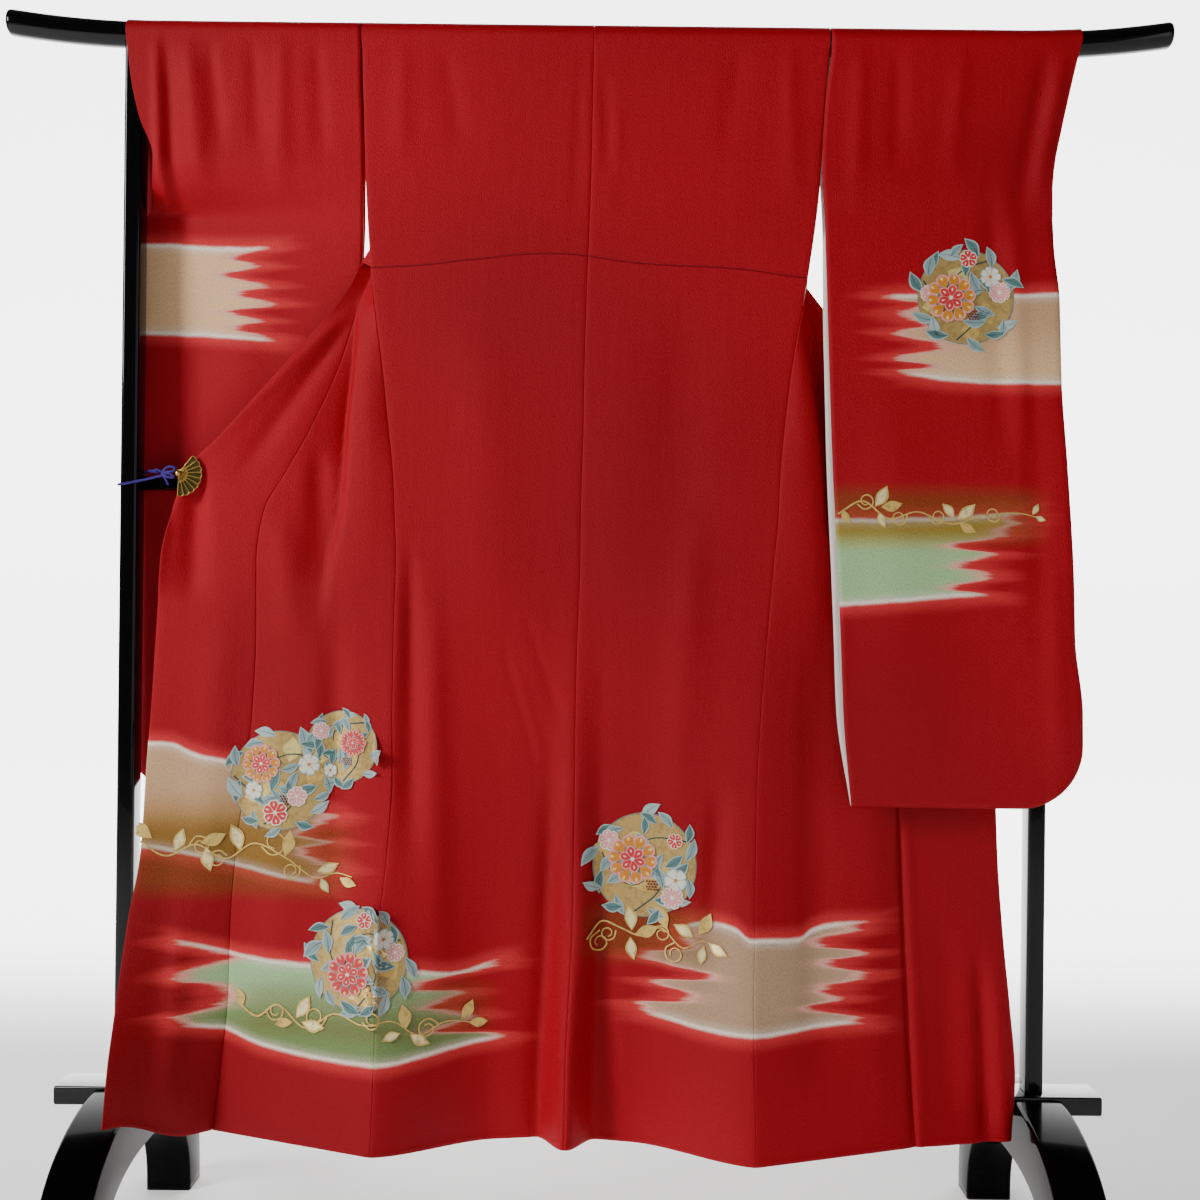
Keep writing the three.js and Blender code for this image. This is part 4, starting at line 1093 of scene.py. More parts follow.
def gold_metal():
    """Cast gold coloured metal, darker and rougher in random patches."""
    finish = Finish("clip gold", colour(205, 164, 78), 0.3, metallic=1.0)
    place = finish.place()
    patch = finish.noise(place, 160.0, 3.0)
    finish.into("Base Color", finish.tint(patch, colour(226, 190, 104), colour(150, 108, 40)))
    finish.into("Roughness", 0.22 + patch * 0.25)
    finish.bump(finish.noise(place, 700.0, 2.0) * 0.0001, 0.6, 1.0)
    return finish.material


def olive_metal():
    """The fan's dark ribs and outline."""
    finish = Finish("clip ribs", colour(70, 58, 22), 0.4, metallic=0.8)
    patch = finish.noise(finish.place(), 300.0, 2.0)
    finish.into("Base Color", finish.tint(patch, colour(92, 78, 30), colour(44, 36, 14)))
    finish.into("Roughness", 0.3 + patch * 0.25)
    return finish.material


def cord_silk():
    """Silk cord: fine fibres in two blues close to violet."""
    finish = Finish("cord silk", colour(30, 6, 100), 0.6)
    fibre = finish.noise(finish.stretched(finish.place(), (2400.0, 900.0, 1500.0)), 1.0, 2.0)
    step = finish.soft_step(fibre, 0.35, 0.65)
    finish.into("Base Color", finish.tint(step, colour(22, 4, 84), colour(48, 14, 140)))
    finish.bump(fibre * 0.0002, 0.8, 1.0)
    return finish.material


def motif_dye():
    """Painted and embroidered motifs: each part's own tint, with fine satin threads."""
    finish = Finish("motif silk", colour(200, 190, 160), 0.5, sheen_weight=0.15)
    tint = finish.node("ShaderNodeAttribute", {"attribute_name": "tint"}, {}, "Color")
    place = finish.place()
    thread = finish.noise(finish.stretched(place, (900.0, 900.0, 2600.0)), 1.0, 1.0)
    shade = finish.noise(place, 90.0, 2.0)
    settings = {"data_type": "RGBA", "blend_type": "MULTIPLY"}
    inputs = {0: shade * 0.5, 6: tint, 7: colour(168, 168, 160)}
    finish.into("Base Color", finish.node("ShaderNodeMix", settings, inputs, 2))
    finish.bump(thread * 0.00022, 0.7, 1.0)
    return finish.material


def motif_gold():
    """Gold leaf on silk: broken, dull metal with paler and browner patches."""
    finish = Finish("motif gold", colour(190, 150, 74), 0.42, metallic=0.55)
    tint = finish.node("ShaderNodeAttribute", {"attribute_name": "tint"}, {}, "Color")
    place = finish.place()
    patch = finish.noise(place, 120.0, 4.0, 0.7)
    speck = finish.noise(place, 700.0, 2.0, 0.7)
    worn = finish.soft_step(patch, 0.45, 0.7) * 0.5
    finish.into("Base Color", finish.tint(worn, tint, colour(122, 92, 42)))
    finish.into("Roughness", 0.32 + speck * 0.3)
    finish.bump(speck * 0.00025, 0.8, 1.0)
    return finish.material


# Stand

LACQUER = lacquer("black lacquer", 0.4, 0.1)
LACQUER_FOOT = lacquer("foot lacquer", 0.05, 0.03)


def bar_piece():
    """The top bar: an oval carried along a line whose ends curve up and close roundly."""
    even = np.linspace(-BAR_HALF, BAR_HALF, 90)
    ends = BAR_HALF - np.array([0, 0.4, 1.4, 3, BAR_END])
    x = np.unique(np.concatenate([even, ends, -ends]))
    past = np.maximum(0, np.abs(x) - BAR_BEND) / (BAR_HALF - BAR_BEND)
    z = BAR_Z + BAR_RISE * past**2
    inset = np.clip(BAR_END - (BAR_HALF - np.abs(x)), 0, BAR_END)
    size = 1 - (1 - np.sqrt(1 - (inset / BAR_END) ** 2)) * 0.3
    angle = np.linspace(0, 2 * np.pi, 48, endpoint=False)
    oval = np.stack([BAR_DEEP * np.cos(angle), BAR_HIGH * np.sin(angle)], axis=1)
    profile = size[:, None, None] * oval[None]
    centres = np.stack([x, 0 * x, z], axis=1)
    piece = sweep("bar", centres, (0, 1, 0), (0, 0, 1), profile, [LACQUER])
    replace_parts(piece, "top_bar")


def posts():
    """The posts: rounded rectangles from the lower rail into the bar's underside."""
    for name, x in (("left", -POST_X), ("right", POST_X)):
        low = RAIL_TOP + JOINT_GAP
        z = np.array([low, low + 1, POST_TOP - 6, POST_TOP])
        centres = np.stack([x + 0 * z, 0 * z, z], axis=1)
        profile = rounded_rectangle(POST_WIDE, POST_DEEP, 5, 7)
        shaft = "post_shaft_" + name
        piece = sweep(shaft, centres, (1, 0, 0), (0, 1, 0), profile, [LACQUER])
        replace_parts(piece, "post_" + name)


def rails():
    """The round middle rail and the flat lower rail with rounded edges and ends."""
    half = POST_X - POST_WIDE / 2 - JOINT_GAP
    angle = np.linspace(0, 2 * np.pi, 40, endpoint=False)
    circle = MID_RAIL_R * np.stack([np.cos(angle), np.sin(angle)], axis=1)
    centres = np.array([[-half, 0, MID_RAIL_Z], [half, 0, MID_RAIL_Z]])
    piece = sweep("rail_round", centres, (0, 1, 0), (0, 0, 1), circle, [LACQUER])
    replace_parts(piece, "middle_rail")
    inset = np.array([0, 0.4, 1.2, 2.5])
    x = np.concatenate([inset - RAIL_HALF, RAIL_HALF - inset[::-1]])
    shrink = np.array([2.2, 1.2, 0.4, 0, 0, 0.4, 1.2, 2.2])
    profile = rounded_rectangle(RAIL_DEEP - 2 * shrink, RAIL_TOP - RAIL_LOW - 2 * shrink, 3, 6)
    centres = np.stack([x, 0 * x, 0 * x + (RAIL_LOW + RAIL_TOP) / 2], axis=1)
    piece = sweep("rail_flat", centres, (0, 1, 0), (0, 0, 1), profile, [LACQUER])
    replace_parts(piece, "lower_rail")


def arch_line(size, angle):
    """A point of a squarish half ellipse at an angle, in the plane of Y and Z."""
    reach, high = size
    power = 2 / FOOT_POWER
    y = reach * np.sign(np.cos(angle)) * np.abs(np.cos(angle)) ** power
    return np.stack([0 * y, y, high * np.abs(np.sin(angle)) ** power], axis=1)


def feet():
    """The arched feet: a rounded rectangle between the inner and the outer arch."""
    angle = np.radians(np.linspace(0, 180, 100))
    outer = arch_line(FOOT_OUTER, angle)
    inner = arch_line(FOOT_INNER, angle)
    deep = np.linalg.norm(outer - inner, axis=1)
    across = (outer - inner) / deep[:, None]
    profile = rounded_rectangle(deep, FOOT_WIDE + 0 * deep, 5, 6)
    for name, x in (("left", -FOOT_X), ("right", FOOT_X)):
        centres = (outer + inner) / 2 + np.array([x, 0, 0])
        piece = sweep("arch_" + name, centres, across, (1, 0, 0), profile, [LACQUER_FOOT])
        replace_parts(piece, "foot_" + name)


bar_piece()
posts()
rails()
feet()

# Patterns of the cloth

BAND_SLEEVE_RIGHT = Band(
    (330, 700, 1190, 1400),
    top=[(330, 1342), (393, 1344), (433, 1350), (597, 1352), (650, 1355)],
    bottom=[(330, 1239), (416, 1241), (498, 1233), (563, 1230), (652, 1230)],
    left=[(1200, 480), (1233, 470), (1244, 440), (1253, 470), (1262, 436), (1280, 490), (1299, 436),
          (1311, 462), (1324, 434), (1336, 460), (1347, 424), (1360, 440)],
    right=[(1190, 800), (1400, 800)],
    fill=BEIGE_GREY,
    low_fill=BEIGE,
)
BAND_SLEEVE_GREEN = Band(
    (240, 660, 880, 1090),
    top=[(240, 1038), (349, 1038), (492, 1042), (577, 1048), (660, 1050)],
    bottom=[(240, 918), (350, 922), (468, 932), (561, 940), (660, 944)],
    left=[(880, 100), (1090, 100)],
    right=[(900, 510), (937, 545), (947, 496), (963, 548), (975, 514), (993, 554), (1002, 508), (1016, 556),
           (1033, 584), (1060, 574)],
    fill=OLIVE_GOLD,
    low_fill=GREEN,
    fade=(0.5, 0.74),
)
BAND_SLEEVE_LEFT = Band(
    (-760, -360, 1230, 1480),
    top=[(-760, 1424), (-627, 1423), (-585, 1422), (-511, 1418), (-436, 1418), (-360, 1419)],
    bottom=[(-760, 1298), (-626, 1297), (-574, 1296), (-490, 1291), (-420, 1288), (-360, 1288)],
    left=[(1230, -900), (1480, -900)],
    right=[(1280, -460), (1290, -450), (1305, -500), (1316, -470), (1327, -520), (1339, -446), (1354, -500),
           (1366, -462), (1379, -515), (1393, -472), (1406, -510), (1418, -455), (1430, -470)],
    fill=BEIGE,
)
BAND_FRONT_LEFT = Band(
    (-700, -240, 490, 780),
    top=[(-700, 722), (-602, 721), (-568, 719), (-537, 706), (-488, 695), (-343, 628), (-297, 612),
         (-240, 600)],
    bottom=[(-700, 584), (-612, 579), (-547, 570), (-490, 557), (-441, 546), (-380, 535), (-296, 530),
            (-240, 530)],
    left=[(490, -900), (780, -900)],
    right=[(500, -380), (534, -372), (554, -345), (576, -385), (588, -350), (600, -390), (618, -345),
           (640, -380), (760, -380)],
    fill=BEIGE_GREY,
    low_fill=BRONZE,
    fade=(0.36, 0.62),
)
BAND_LOWER_LEFT = Band(
    (-620, -50, 270, 480),
    top=[(-620, 453), (-568, 452), (-534, 446), (-501, 437), (-475, 431), (-422, 426), (-367, 423),
         (-237, 420), (-173, 413), (-110, 426), (-50, 430)],
    bottom=[(-620, 346), (-580, 342), (-521, 334), (-480, 325), (-439, 312), (-376, 303), (-279, 299),
            (-216, 305), (-164, 315), (-109, 322), (-50, 330)],
    left=[(330, -516), (343, -541), (362, -496), (381, -486), (404, -541), (425, -482), (450, -541),
          (465, -526)],
    right=[(300, -150), (325, -116), (338, -190), (355, -154), (370, -200), (387, -168), (396, -226),
           (423, -120), (440, -134)],
    fill=GREEN,
    low_fill=GREEN_DEEP,
    fade=(0.3, 0.62),
)
BAND_LOWER_RIGHT = Band(
    (0, 450, 320, 520),
    top=[(0, 428), (54, 440), (118, 464), (171, 486), (210, 482), (235, 468), (293, 468), (318, 480),
         (350, 488), (450, 489)],
    bottom=[(0, 370), (53, 366), (112, 358), (166, 349), (236, 346), (293, 351), (350, 357),
            (404, 360), (450, 362)],
    left=[(350, 104), (371, 84), (378, 126), (387, 156), (405, 104), (414, 186), (440, 88), (452, 150),
          (470, 150), (500, 150)],
    right=[(350, 374), (363, 380), (377, 310), (390, 350), (401, 328), (421, 386), (435, 332), (451, 386),
           (459, 320), (486, 380), (500, 376)],
    fill=BEIGE_DARK,
    low_fill=BEIGE_DARK,
)
# Gold hazes: from x to x, from height to height, and how strong
HAZE_SLEEVE_RIGHT = (300, 640, 1012, 1078, 0.75)
HAZE_FRONT_LEFT = (-640, -300, 516, 612, 0.7)
HAZE_LOWER_LEFT = (-480, -110, 330, 398, 0.55)
HAZE_LOWER_RIGHT = (0, 200, 434, 500, 0.75)
# The tuck across the back: its height at places along x
TUCK_BACK = [(-330, 1382), (-298, 1384), (-235, 1388), (-160, 1397), (-40, 1407), (2, 1404), (60, 1396),
             (100, 1393), (200, 1389), (300, 1377), (340, 1374)]

plain_crepe = crepe("crepe plain")
back_left_crepe = crepe("crepe back left", [BAND_LOWER_LEFT], [HAZE_LOWER_LEFT], TUCK_BACK)
back_right_crepe = crepe("crepe back right", [BAND_LOWER_RIGHT], [HAZE_LOWER_RIGHT], TUCK_BACK)
front_left_crepe = crepe(
    "crepe front left", [BAND_FRONT_LEFT, BAND_LOWER_LEFT], [HAZE_FRONT_LEFT, HAZE_LOWER_LEFT]
)
front_right_crepe = crepe("crepe front right", [BAND_LOWER_RIGHT])
sleeve_left_crepe = crepe("crepe sleeve left", [BAND_SLEEVE_LEFT])
sleeve_right_crepe = crepe(
    "crepe sleeve right", [BAND_SLEEVE_RIGHT, BAND_SLEEVE_GREEN], [HAZE_SLEEVE_RIGHT]
)
LINING = lining()

# Body panels

grids = {}
okumi_seams = {}
for side, material in (("left", back_left_crepe), ("right", back_right_crepe)):
    grid, cut = back_panel(side)
    grids["back_" + side] = grid
    layer = (grid, normal_of(grid), cut)
    piece = shell("back_cloth_" + side, [layer], CLOTH, material, LINING)
    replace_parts(piece, "back_" + side)

for side, material in (("left", front_left_crepe), ("right", front_right_crepe)):
    grid, cut, split, row_z = front_panel(side)
    grids["front_" + side] = turned(side, grid)
    normals = normal_of(turned(side, grid))
    normals = turned(side, normals)
    above = np.ones(len(grid), bool)
    above[: len(row_z)] = row_z > TIP
    front = grid[:, :split].copy()
    front_normal = normals[:, :split].copy()
    front_cut = cut[:, :split].copy()
    front[above, -1] = grid[above, -1]
    front_normal[above, -1] = normals[above, -1]
    draw_in(front)
    layer = [turned(side, part) for part in (front, front_normal, front_cut)]
    piece = shell("front_cloth_" + side, [layer], CLOTH, material, LINING)
    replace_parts(piece, "front_" + side)
    okumi_rows = int((row_z < TIP).sum())
    okumi_seams[side] = (grid, split, okumi_rows)
    okumi = draw_in(grid[:okumi_rows, split - 1:].copy())
    layer = [turned(side, okumi)]
    layer += [turned(side, part[:okumi_rows, split - 1:]) for part in (normals, cut)]
    piece = shell("okumi_cloth_" + side, [layer], CLOTH, material, LINING)
    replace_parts(piece, "okumi_" + side)
    "front_cloth_" + side

# Seam allowances


def allowance(name, first, last):
    """The cloth left over behind a seam: a narrow strip inside both panels' edges. first and
    last are the grid columns of the two panels, from the seam inwards."""
    rows = min(len(first), len(last))
    grid = np.stack([first[:rows, -1], first[:rows, 0], last[:rows, -1]], axis=1)
    normals = normal_of(grid)
    grid = grid - normals * ALLOWANCE_DEPTH
    cut = np.stack([grid[..., 0], grid[..., 2]], axis=2)
    shell(name, [(grid, normals, cut)], ALLOWANCE_THICK, plain_crepe, LINING)


# The columns beside a seam, and the rows of the back from the hem to just below the bar
near_seam = slice(0, 5)
below_bar = slice(0, 200)
centre_left = grids["back_left"][below_bar, ::-1][:, near_seam]
allowance("allowance_centre", centre_left, grids["back_right"][below_bar, near_seam])
for side in ("left", "right"):
    seam_grid, split, rows_below = okumi_seams[side]
    fronts = seam_grid[:rows_below, :split][:, ::-1][:, near_seam]
    okumis = seam_grid[:rows_below, split - 1:][:, near_seam]
    back_edge = grids["back_" + side][:rows_below]
    armpit_row = int((back_edge[:, 0, 2] < ARMPIT - 20).sum())
    back_edge = turned(side, back_edge[:, ::-1])[:armpit_row, near_seam]
    front_edge = seam_grid[:armpit_row, near_seam]
    if side == "left":
        allowance("allowance_okumi_left", okumis, fronts)
        allowance("allowance_side_left", front_edge, back_edge)
    else:
        allowance("allowance_okumi_right", fronts, okumis)
        allowance("allowance_side_right", back_edge, front_edge)

# Sleeves

for side, rows, bottom, fold_rows, material in (
    ("left", SLEEVE_LEFT, SLEEVE_BOTTOM_LEFT, FOLDS_SLEEVE_LEFT, sleeve_left_crepe),
    ("right", SLEEVE_RIGHT, SLEEVE_BOTTOM_RIGHT, FOLDS_SLEEVE_RIGHT, sleeve_right_crepe),
):
    # The left sleeve's inside is red crepe instead of the white lining, as painted shade in its wrist
    # opening
    inner = plain_crepe if side == "left" else LINING
    piece, layers = sleeve("sleeve_cloth_" + side, rows, bottom, fold_rows, material, inner)
    grids["sleeve_" + side] = layers[0][0]
    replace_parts(piece, "sleeve_" + side)

# Relief of the cloths, for what lies on them


class Relief:
    """How deep some cloths lie over x and z, as a raster in millimetres.
    Where several are given, the one nearest to the viewer counts."""

    STEP = 2.0

    def __init__(self, *cloths):
        turned_right = [g if g[0, -1, 0] > g[0, 0, 0] else g[:, ::-1] for g in cloths]
        every = np.concatenate([g.reshape(-1, 3) for g in turned_right])
        self.x0, _, self.z0 = every.min(axis=0)
        xs = np.arange(self.x0, every[:, 0].max() + self.STEP, self.STEP)
        zs = np.arange(self.z0, every[:, 2].max() + self.STEP, self.STEP)
        self.raster = np.full((len(zs), len(xs)), np.nan)
        for g in turned_right:
            self.raster = np.fmin(self.raster, self.one_cloth(g, xs, zs))

    @staticmethod
    def one_cloth(g, xs, zs):
        """One cloth's raster: its rows met by the raster's columns, then mixed up each column."""
        rows = [[np.interp(xs, row[:, 0], row[:, k], np.nan, np.nan) for k in (1, 2)] for row in g]
        across = np.array(rows)
        made = np.full((len(zs), len(xs)), np.nan)
        for j in range(len(xs)):
            known = ~np.isnan(across[:, 0, j])
            if known.sum() > 1:
                z, y = across[known, 1, j], across[known, 0, j]
                order = np.argsort(z)
                made[:, j] = np.interp(zs, z[order], y[order], np.nan, np.nan)
        return made

    def smoothed(self, steps):
        """The same relief, a little nearer and softened across, so that flat shapes lie clear
        of the ridges."""

        def neighbours():
            return np.stack([np.roll(self.raster, n, axis=1) for n in range(-steps, steps + 1)])

        self.raster = np.fmin.reduce(neighbours())
        for _ in range(2):
            moved = neighbours()
            known = ~np.isnan(moved)
            mean = np.where(known, moved, 0).sum(axis=0) / np.maximum(known.sum(axis=0), 1)
            self.raster = np.where(known.any(axis=0), mean, np.nan)
        return self

    def depth(self, x, z):
        """Depth at places, mixed from the four raster points around each; outside it is unknown."""
        u = (np.asarray(x) - self.x0) / self.STEP
        v = (np.asarray(z) - self.z0) / self.STEP
        high, wide = self.raster.shape
        inside = (u >= 0) & (v >= 0) & (u <= wide - 1.001) & (v <= high - 1.001)
        i = np.clip(v.astype(int), 0, high - 2)
        j = np.clip(u.astype(int), 0, wide - 2)
        s, t = np.clip(u - j, 0, 1), np.clip(v - i, 0, 1)
        r = self.raster
        low = mix(r[i, j], r[i, j + 1], s)
        top = mix(r[i + 1, j], r[i + 1, j + 1], s)
        return np.where(inside, mix(low, top, t), np.nan)


# Collar: a band along both front edges and over the neck, on the far side

COLLAR_HEIGHTS = np.array([1097, 1125, 1156, 1210, 1265, 1310, ARMPIT, 1400, 1450, 1545, 1640, 1690.0])
COLLAR_STEEP = 4
COLLAR_CUT = 3000
COLLAR_BUNCH = 14
NECK_LINE = np.array([[-70, 20.6, 1720.5], [6, 19, 1724.5], [82, 20.6, 1720.5]])


def collar_piece():
    """The collar: it hangs from the fronts' edge line to the inside of that line's bend, a
    little behind the fronts and clear of the bar."""
    line = {}
    for side in ("left", "right"):
        x, y, z = front_point(side, np.full(len(COLLAR_HEIGHTS), 2.0), COLLAR_HEIGHTS)
        line[side] = np.stack([x, y + COLLAR_BEHIND, z], axis=1)
    centre = even_line(np.concatenate([line["left"], NECK_LINE, line["right"][::-1]]), 190)
    step = np.gradient(centre, axis=0)
    flat = np.hypot(step[:, 0], step[:, 2])
    w = np.linspace(0, 1, 13)[None, :]
    x = centre[:, 0, None] + (step[:, 2] / flat)[:, None] * COLLAR_WIDE * w
    z = centre[:, 2, None] - (step[:, 0] / flat)[:, None] * COLLAR_WIDE * w
    high = centre[:, 2, None]
    bunch = COLLAR_BUNCH * ease(1230, 1360, high) * (1 - ease(1420, 1600, high)) * ease(0, 0.6, w)
    steep = COLLAR_STEEP * ease(1120, 1200, z) * (1 - ease(1380, 1420, z))
    deepest = np.fmax(
        Relief(grids["front_left"]).depth(x, z), Relief(grids["front_right"]).depth(x, z)
    )
    y = np.fmax(centre[:, 1, None] + bunch, deepest + COLLAR_BEHIND + steep)
    over = np.clip((z - BAR_Z) / (WRAP_HIGH + COLLAR_OUT), 0, 1)
    of_bar = (WRAP_DEEP + COLLAR_OUT) * np.sqrt(1 - over**2)
    y = mix(y, np.maximum(y, of_bar), ease(1560, 1640, high))
    soft = 0.5 * np.sin(np.pi * w)
    grid = np.stack([x, y + soft, z], axis=2)
    cut = np.stack([w * COLLAR_WIDE + 0 * x, run_along(centre)[:, None] + COLLAR_CUT + 0 * x], axis=2)
    layer = (grid, normal_of(grid), cut)
    piece = shell("collar_band", [layer], COLLAR_THICK, plain_crepe, None)
    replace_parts(piece, "collar")


collar_piece()

# Clip and cord

CLIP_X, CLIP_Z = -563, 1094
CLIP_FRONT, CLIP_BACK = -33.4, -25
FAN_INNER, FAN_OUTER, FAN_RIBS, FAN_FROM, FAN_TO = 12, 32, 9, -92, 52
FAN_PLEAT = 0.9
WIRE = 0.62
BALL = 4.5
STRAND = 1.15
CORD_LINE = [
    [-568, -37.2, 1098.6], [-580, -34.5, 1093], [-594, -31, 1089.5], [-610, -26.8, 1086],
    [-626, -23, 1083], [-641, -22.5, 1080], [-649.9, -20.6, 1079], [-652.2, -12, 1079.3],
    [-652.2, 12, 1083], [-649.9, 20.6, 1086], [-641, 22.6, 1090], [-629, 22.6, 1096],
    [-621.5, 18.5, 1098.5], [-617, 2, 1099.5], [-607, -15, 1098], [-594, -27, 1095.5],
]
BOW_LINES = [
    [[-588, -31.5, 1096], [-577, -37, 1103], [-567, -39.5, 1101], [-572, -38.5, 1096.5],
     [-588, -31.5, 1096]],
    [[-588, -31.5, 1095], [-579, -36.5, 1089], [-569, -39, 1088.5], [-574, -38, 1093],
     [-588, -31.5, 1095]],
    [[-587, -32.5, 1095.5], [-594, -31, 1099], [-600, -30, 1097.5]],
    [[-587, -32.5, 1095], [-580, -36, 1083.5], [-577, -37.5, 1078]],
]


def across_line(line, upward):
    """Two directions square to a line at each of its points, the second the more upward one."""
    way = np.gradient(line, axis=0)
    side = unit(np.cross(way, upward))
    return side, unit(np.cross(side, way))


def tubes(lines, radius, around, upward):
    """Round tubes along lines, as (points, faces): at each point a circle square to the line."""
    angle = np.linspace(0, 2 * np.pi, around, endpoint=False)
    points, faces = [], []
    start = 0
    for line in lines:
        line = np.asarray(line, float)
        side, up = across_line(line, upward)
        ring = np.cos(angle)[:, None] * side[:, None] + np.sin(angle)[:, None] * up[:, None]
        points.append((line[:, None] + radius * ring).reshape(-1, 3))
        faces += tube_quads(len(line), around, start)[:, ::-1].tolist()
        last = start + (len(line) - 1) * around
        faces.append([start + n for n in range(around)])
        faces.append([last + n for n in range(around)][::-1])
        start += len(line) * around
    return np.concatenate(points), faces


def polar(radius, degrees, y):
    """Points round the clip's pin, in the plane of X and Z, at a depth."""
    a = np.radians(degrees)
    radius, a, y = np.broadcast_arrays(radius, a, y)
    return np.stack([CLIP_X + radius * np.cos(a), y + 0 * a, CLIP_Z + radius * np.sin(a)], axis=-1)


def slab(name, near, far):
    """A closed plate of the fan between two grids of points of the same shape."""
    count = near.shape[0] * near.shape[1]
    quads = grid_quads(*near.shape[:2])
    points = np.concatenate([near.reshape(-1, 3), far.reshape(-1, 3)])
    faces = np.concatenate([quads, quads[:, ::-1] + count, rim_quads(quads, count)]).tolist()
    piece = build(name, points, faces, [OLIVE])
    face_out(piece)
    return piece


def fan_pieces():
    """The fan: a pleated plate between two arcs, gold wires on its ribs and rims, and a heart."""
    a = np.linspace(FAN_FROM, FAN_TO, FAN_RIBS * 8 + 1)
    fold = np.abs(((a - FAN_FROM) / (FAN_TO - FAN_FROM) * FAN_RIBS) % 1 - 0.5) * 2
    r = np.linspace(0, 1, 9)[:, None]
    outer = FAN_OUTER * (1 - 0.045 * fold)
    radius = mix(FAN_INNER, outer[None, :], r)
    front = CLIP_FRONT - 2.0 - FAN_PLEAT * fold[None, :] * r
    near = polar(radius, a[None, :], front)
    far = polar(radius, a[None, :], CLIP_FRONT - 0.2 + 0 * front)
    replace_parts(slab("fan_plate", near, far), "clip_fan")
    ribs = np.linspace(FAN_FROM, FAN_TO, FAN_RIBS + 1)
    lines = [polar(np.linspace(3.2, FAN_OUTER * 0.955, 12), d, CLIP_FRONT - 3.0) for d in ribs]
    lines.append(polar(outer, a, CLIP_FRONT - 2.1 - 0.6 * fold))
    lines.append(polar(FAN_INNER, a, CLIP_FRONT - 2.6))
    lines.append(polar(FAN_INNER - 1.6, a, CLIP_FRONT - 2.2))
    wires, faces = tubes(lines, WIRE, 8, (0, 1, 0))
    build("fan_wires", wires, faces, [GOLD_METAL])
    sector = polar(np.linspace(2.6, FAN_INNER - 0.2, 5)[:, None], a[None, ::6], CLIP_FRONT - 1.6)
    slab("fan_heart", sector, sector + np.array([0, 1.0, 0]))


def jaw_pieces():
    """The pin through the cloth, with a ball in front, and the jaw's plate behind."""
    across = np.radians(np.arange(13) * 180 / 16)
    pin_y = CLIP_FRONT - 2.2 - 3.6
    reach = np.append(BALL * np.cos(across), pin_y - CLIP_BACK)
    thick = np.append(np.maximum(BALL * np.sin(across), 0.05), 2.8)
    centres = np.stack([CLIP_X + 0 * reach, pin_y - reach, CLIP_Z + 0 * reach], axis=1)
    turn = np.linspace(0, 2 * np.pi, 24, endpoint=False)
    circle = thick[:, None, None] * np.stack([np.cos(turn), np.sin(turn)], axis=1)[None]
    sweep("clip_pin", centres, (1, 0, 0), (0, 0, 1), circle, [GOLD_METAL])
    x = np.array([CLIP_X - 4, CLIP_X - 3.4, CLIP_X + 19.4, CLIP_X + 20])
    shrink = np.array([0.5, 0, 0, 0.5])
    plate_line = np.stack([x, CLIP_BACK + 0 * x, CLIP_Z + 0 * x], axis=1)
    section = rounded_rectangle(1.6 - shrink, 12 - 2 * shrink, 0.3, 4)
    jaw = sweep("clip_jaw_plate", plate_line, (0, 1, 0), (0, 0, 1), section, [GOLD_METAL])
    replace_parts(jaw, "clip_jaw")


def cord_piece():
    """The cord: three strands wound round its line, and a small bow tied by the clip."""
    strands = []
    upward = (0, 0.3, 1)
    lines = [(CORD_LINE, 10.0, 0.85, 260)] + [(bow, 9.0, 0.65, 50) for bow in BOW_LINES]
    for line, pitch, reach, count in lines:
        centre = even_line(line, count)
        side, up = across_line(centre, upward)
        for k in range(3):
            a = (2 * np.pi * (run_along(centre) / pitch + k / 3))[:, None]
            strands.append(centre + reach * (np.cos(a) * side + np.sin(a) * up))
    points, faces = tubes(strands, STRAND, 7, upward)
    piece = build("cord_and_bow", points, faces, [CORD_SILK])
    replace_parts(piece, "clip_cord")


GOLD_METAL = gold_metal()
OLIVE = olive_metal()
CORD_SILK = cord_silk()
fan_pieces()
jaw_pieces()
cord_piece()

# Motifs: flat silk and gold shapes laid on the cloth

CREAM = colour(255, 248, 232)
OCHRE = colour(226, 140, 10)
CORAL = colour(228, 44, 50)
PINK = colour(250, 168, 166)
BERRY = colour(120, 16, 34)
LEAF_GREY = colour(144, 172, 174)
LEAF_PALE = colour(182, 204, 204)
LEAF_TEAL = colour(90, 132, 130)
STEM = colour(30, 66, 72)
RIM = colour(130, 136, 130)
GROUND = colour(198, 166, 100)
PALE_GOLD = colour(244, 224, 140)
VINE_GOLD = colour(228, 192, 108)
VINE_PALE = colour(255, 236, 176)


# A motif lies on the highest cloth within this many raster steps to both sides, so far in
# front of it, and each level lies a step in front of the last
REACH = 2
MOTIF_LIFT = 0.25
MOTIF_STEP = 0.12

# A roundel's numbers of leaves and berries
RIM_LEAVES = 16
INNER_LEAVES = 15
BERRIES = 16


def petal(long, wide, blunt=0.75, notch=0.0, count=9):
    """A petal's outline from its root at the origin along +x: its width is a sine bell of the
    share along it, fuller towards the tip, and a notch draws the tip in."""
    s = np.linspace(0, 1, count)
    half = wide / 2 * np.sin(np.pi * s**1.6) ** blunt
    x = long * s
    x[-1] -= notch * long
    upper = np.stack([x, half], axis=1)
    lower = np.stack([x[1:-1], -half[1:-1]], axis=1)[::-1]
    return np.concatenate([upper[::-1], lower[::-1]])


def leaf_shape(long, wide, bend, count=9):
    """A leaf's outline: a pointed lens about an axis that bends as a parabola."""
    s = np.linspace(0, 1, count)
    half = wide / 2 * np.sin(np.pi * s) ** 1.15
    axis = bend * long * (s**2 - s)
    upper = np.stack([long * s, axis + half], axis=1)
    lower = np.stack([long * s[1:-1], (axis - half)[1:-1]], axis=1)
    return np.concatenate([lower, upper[::-1]])


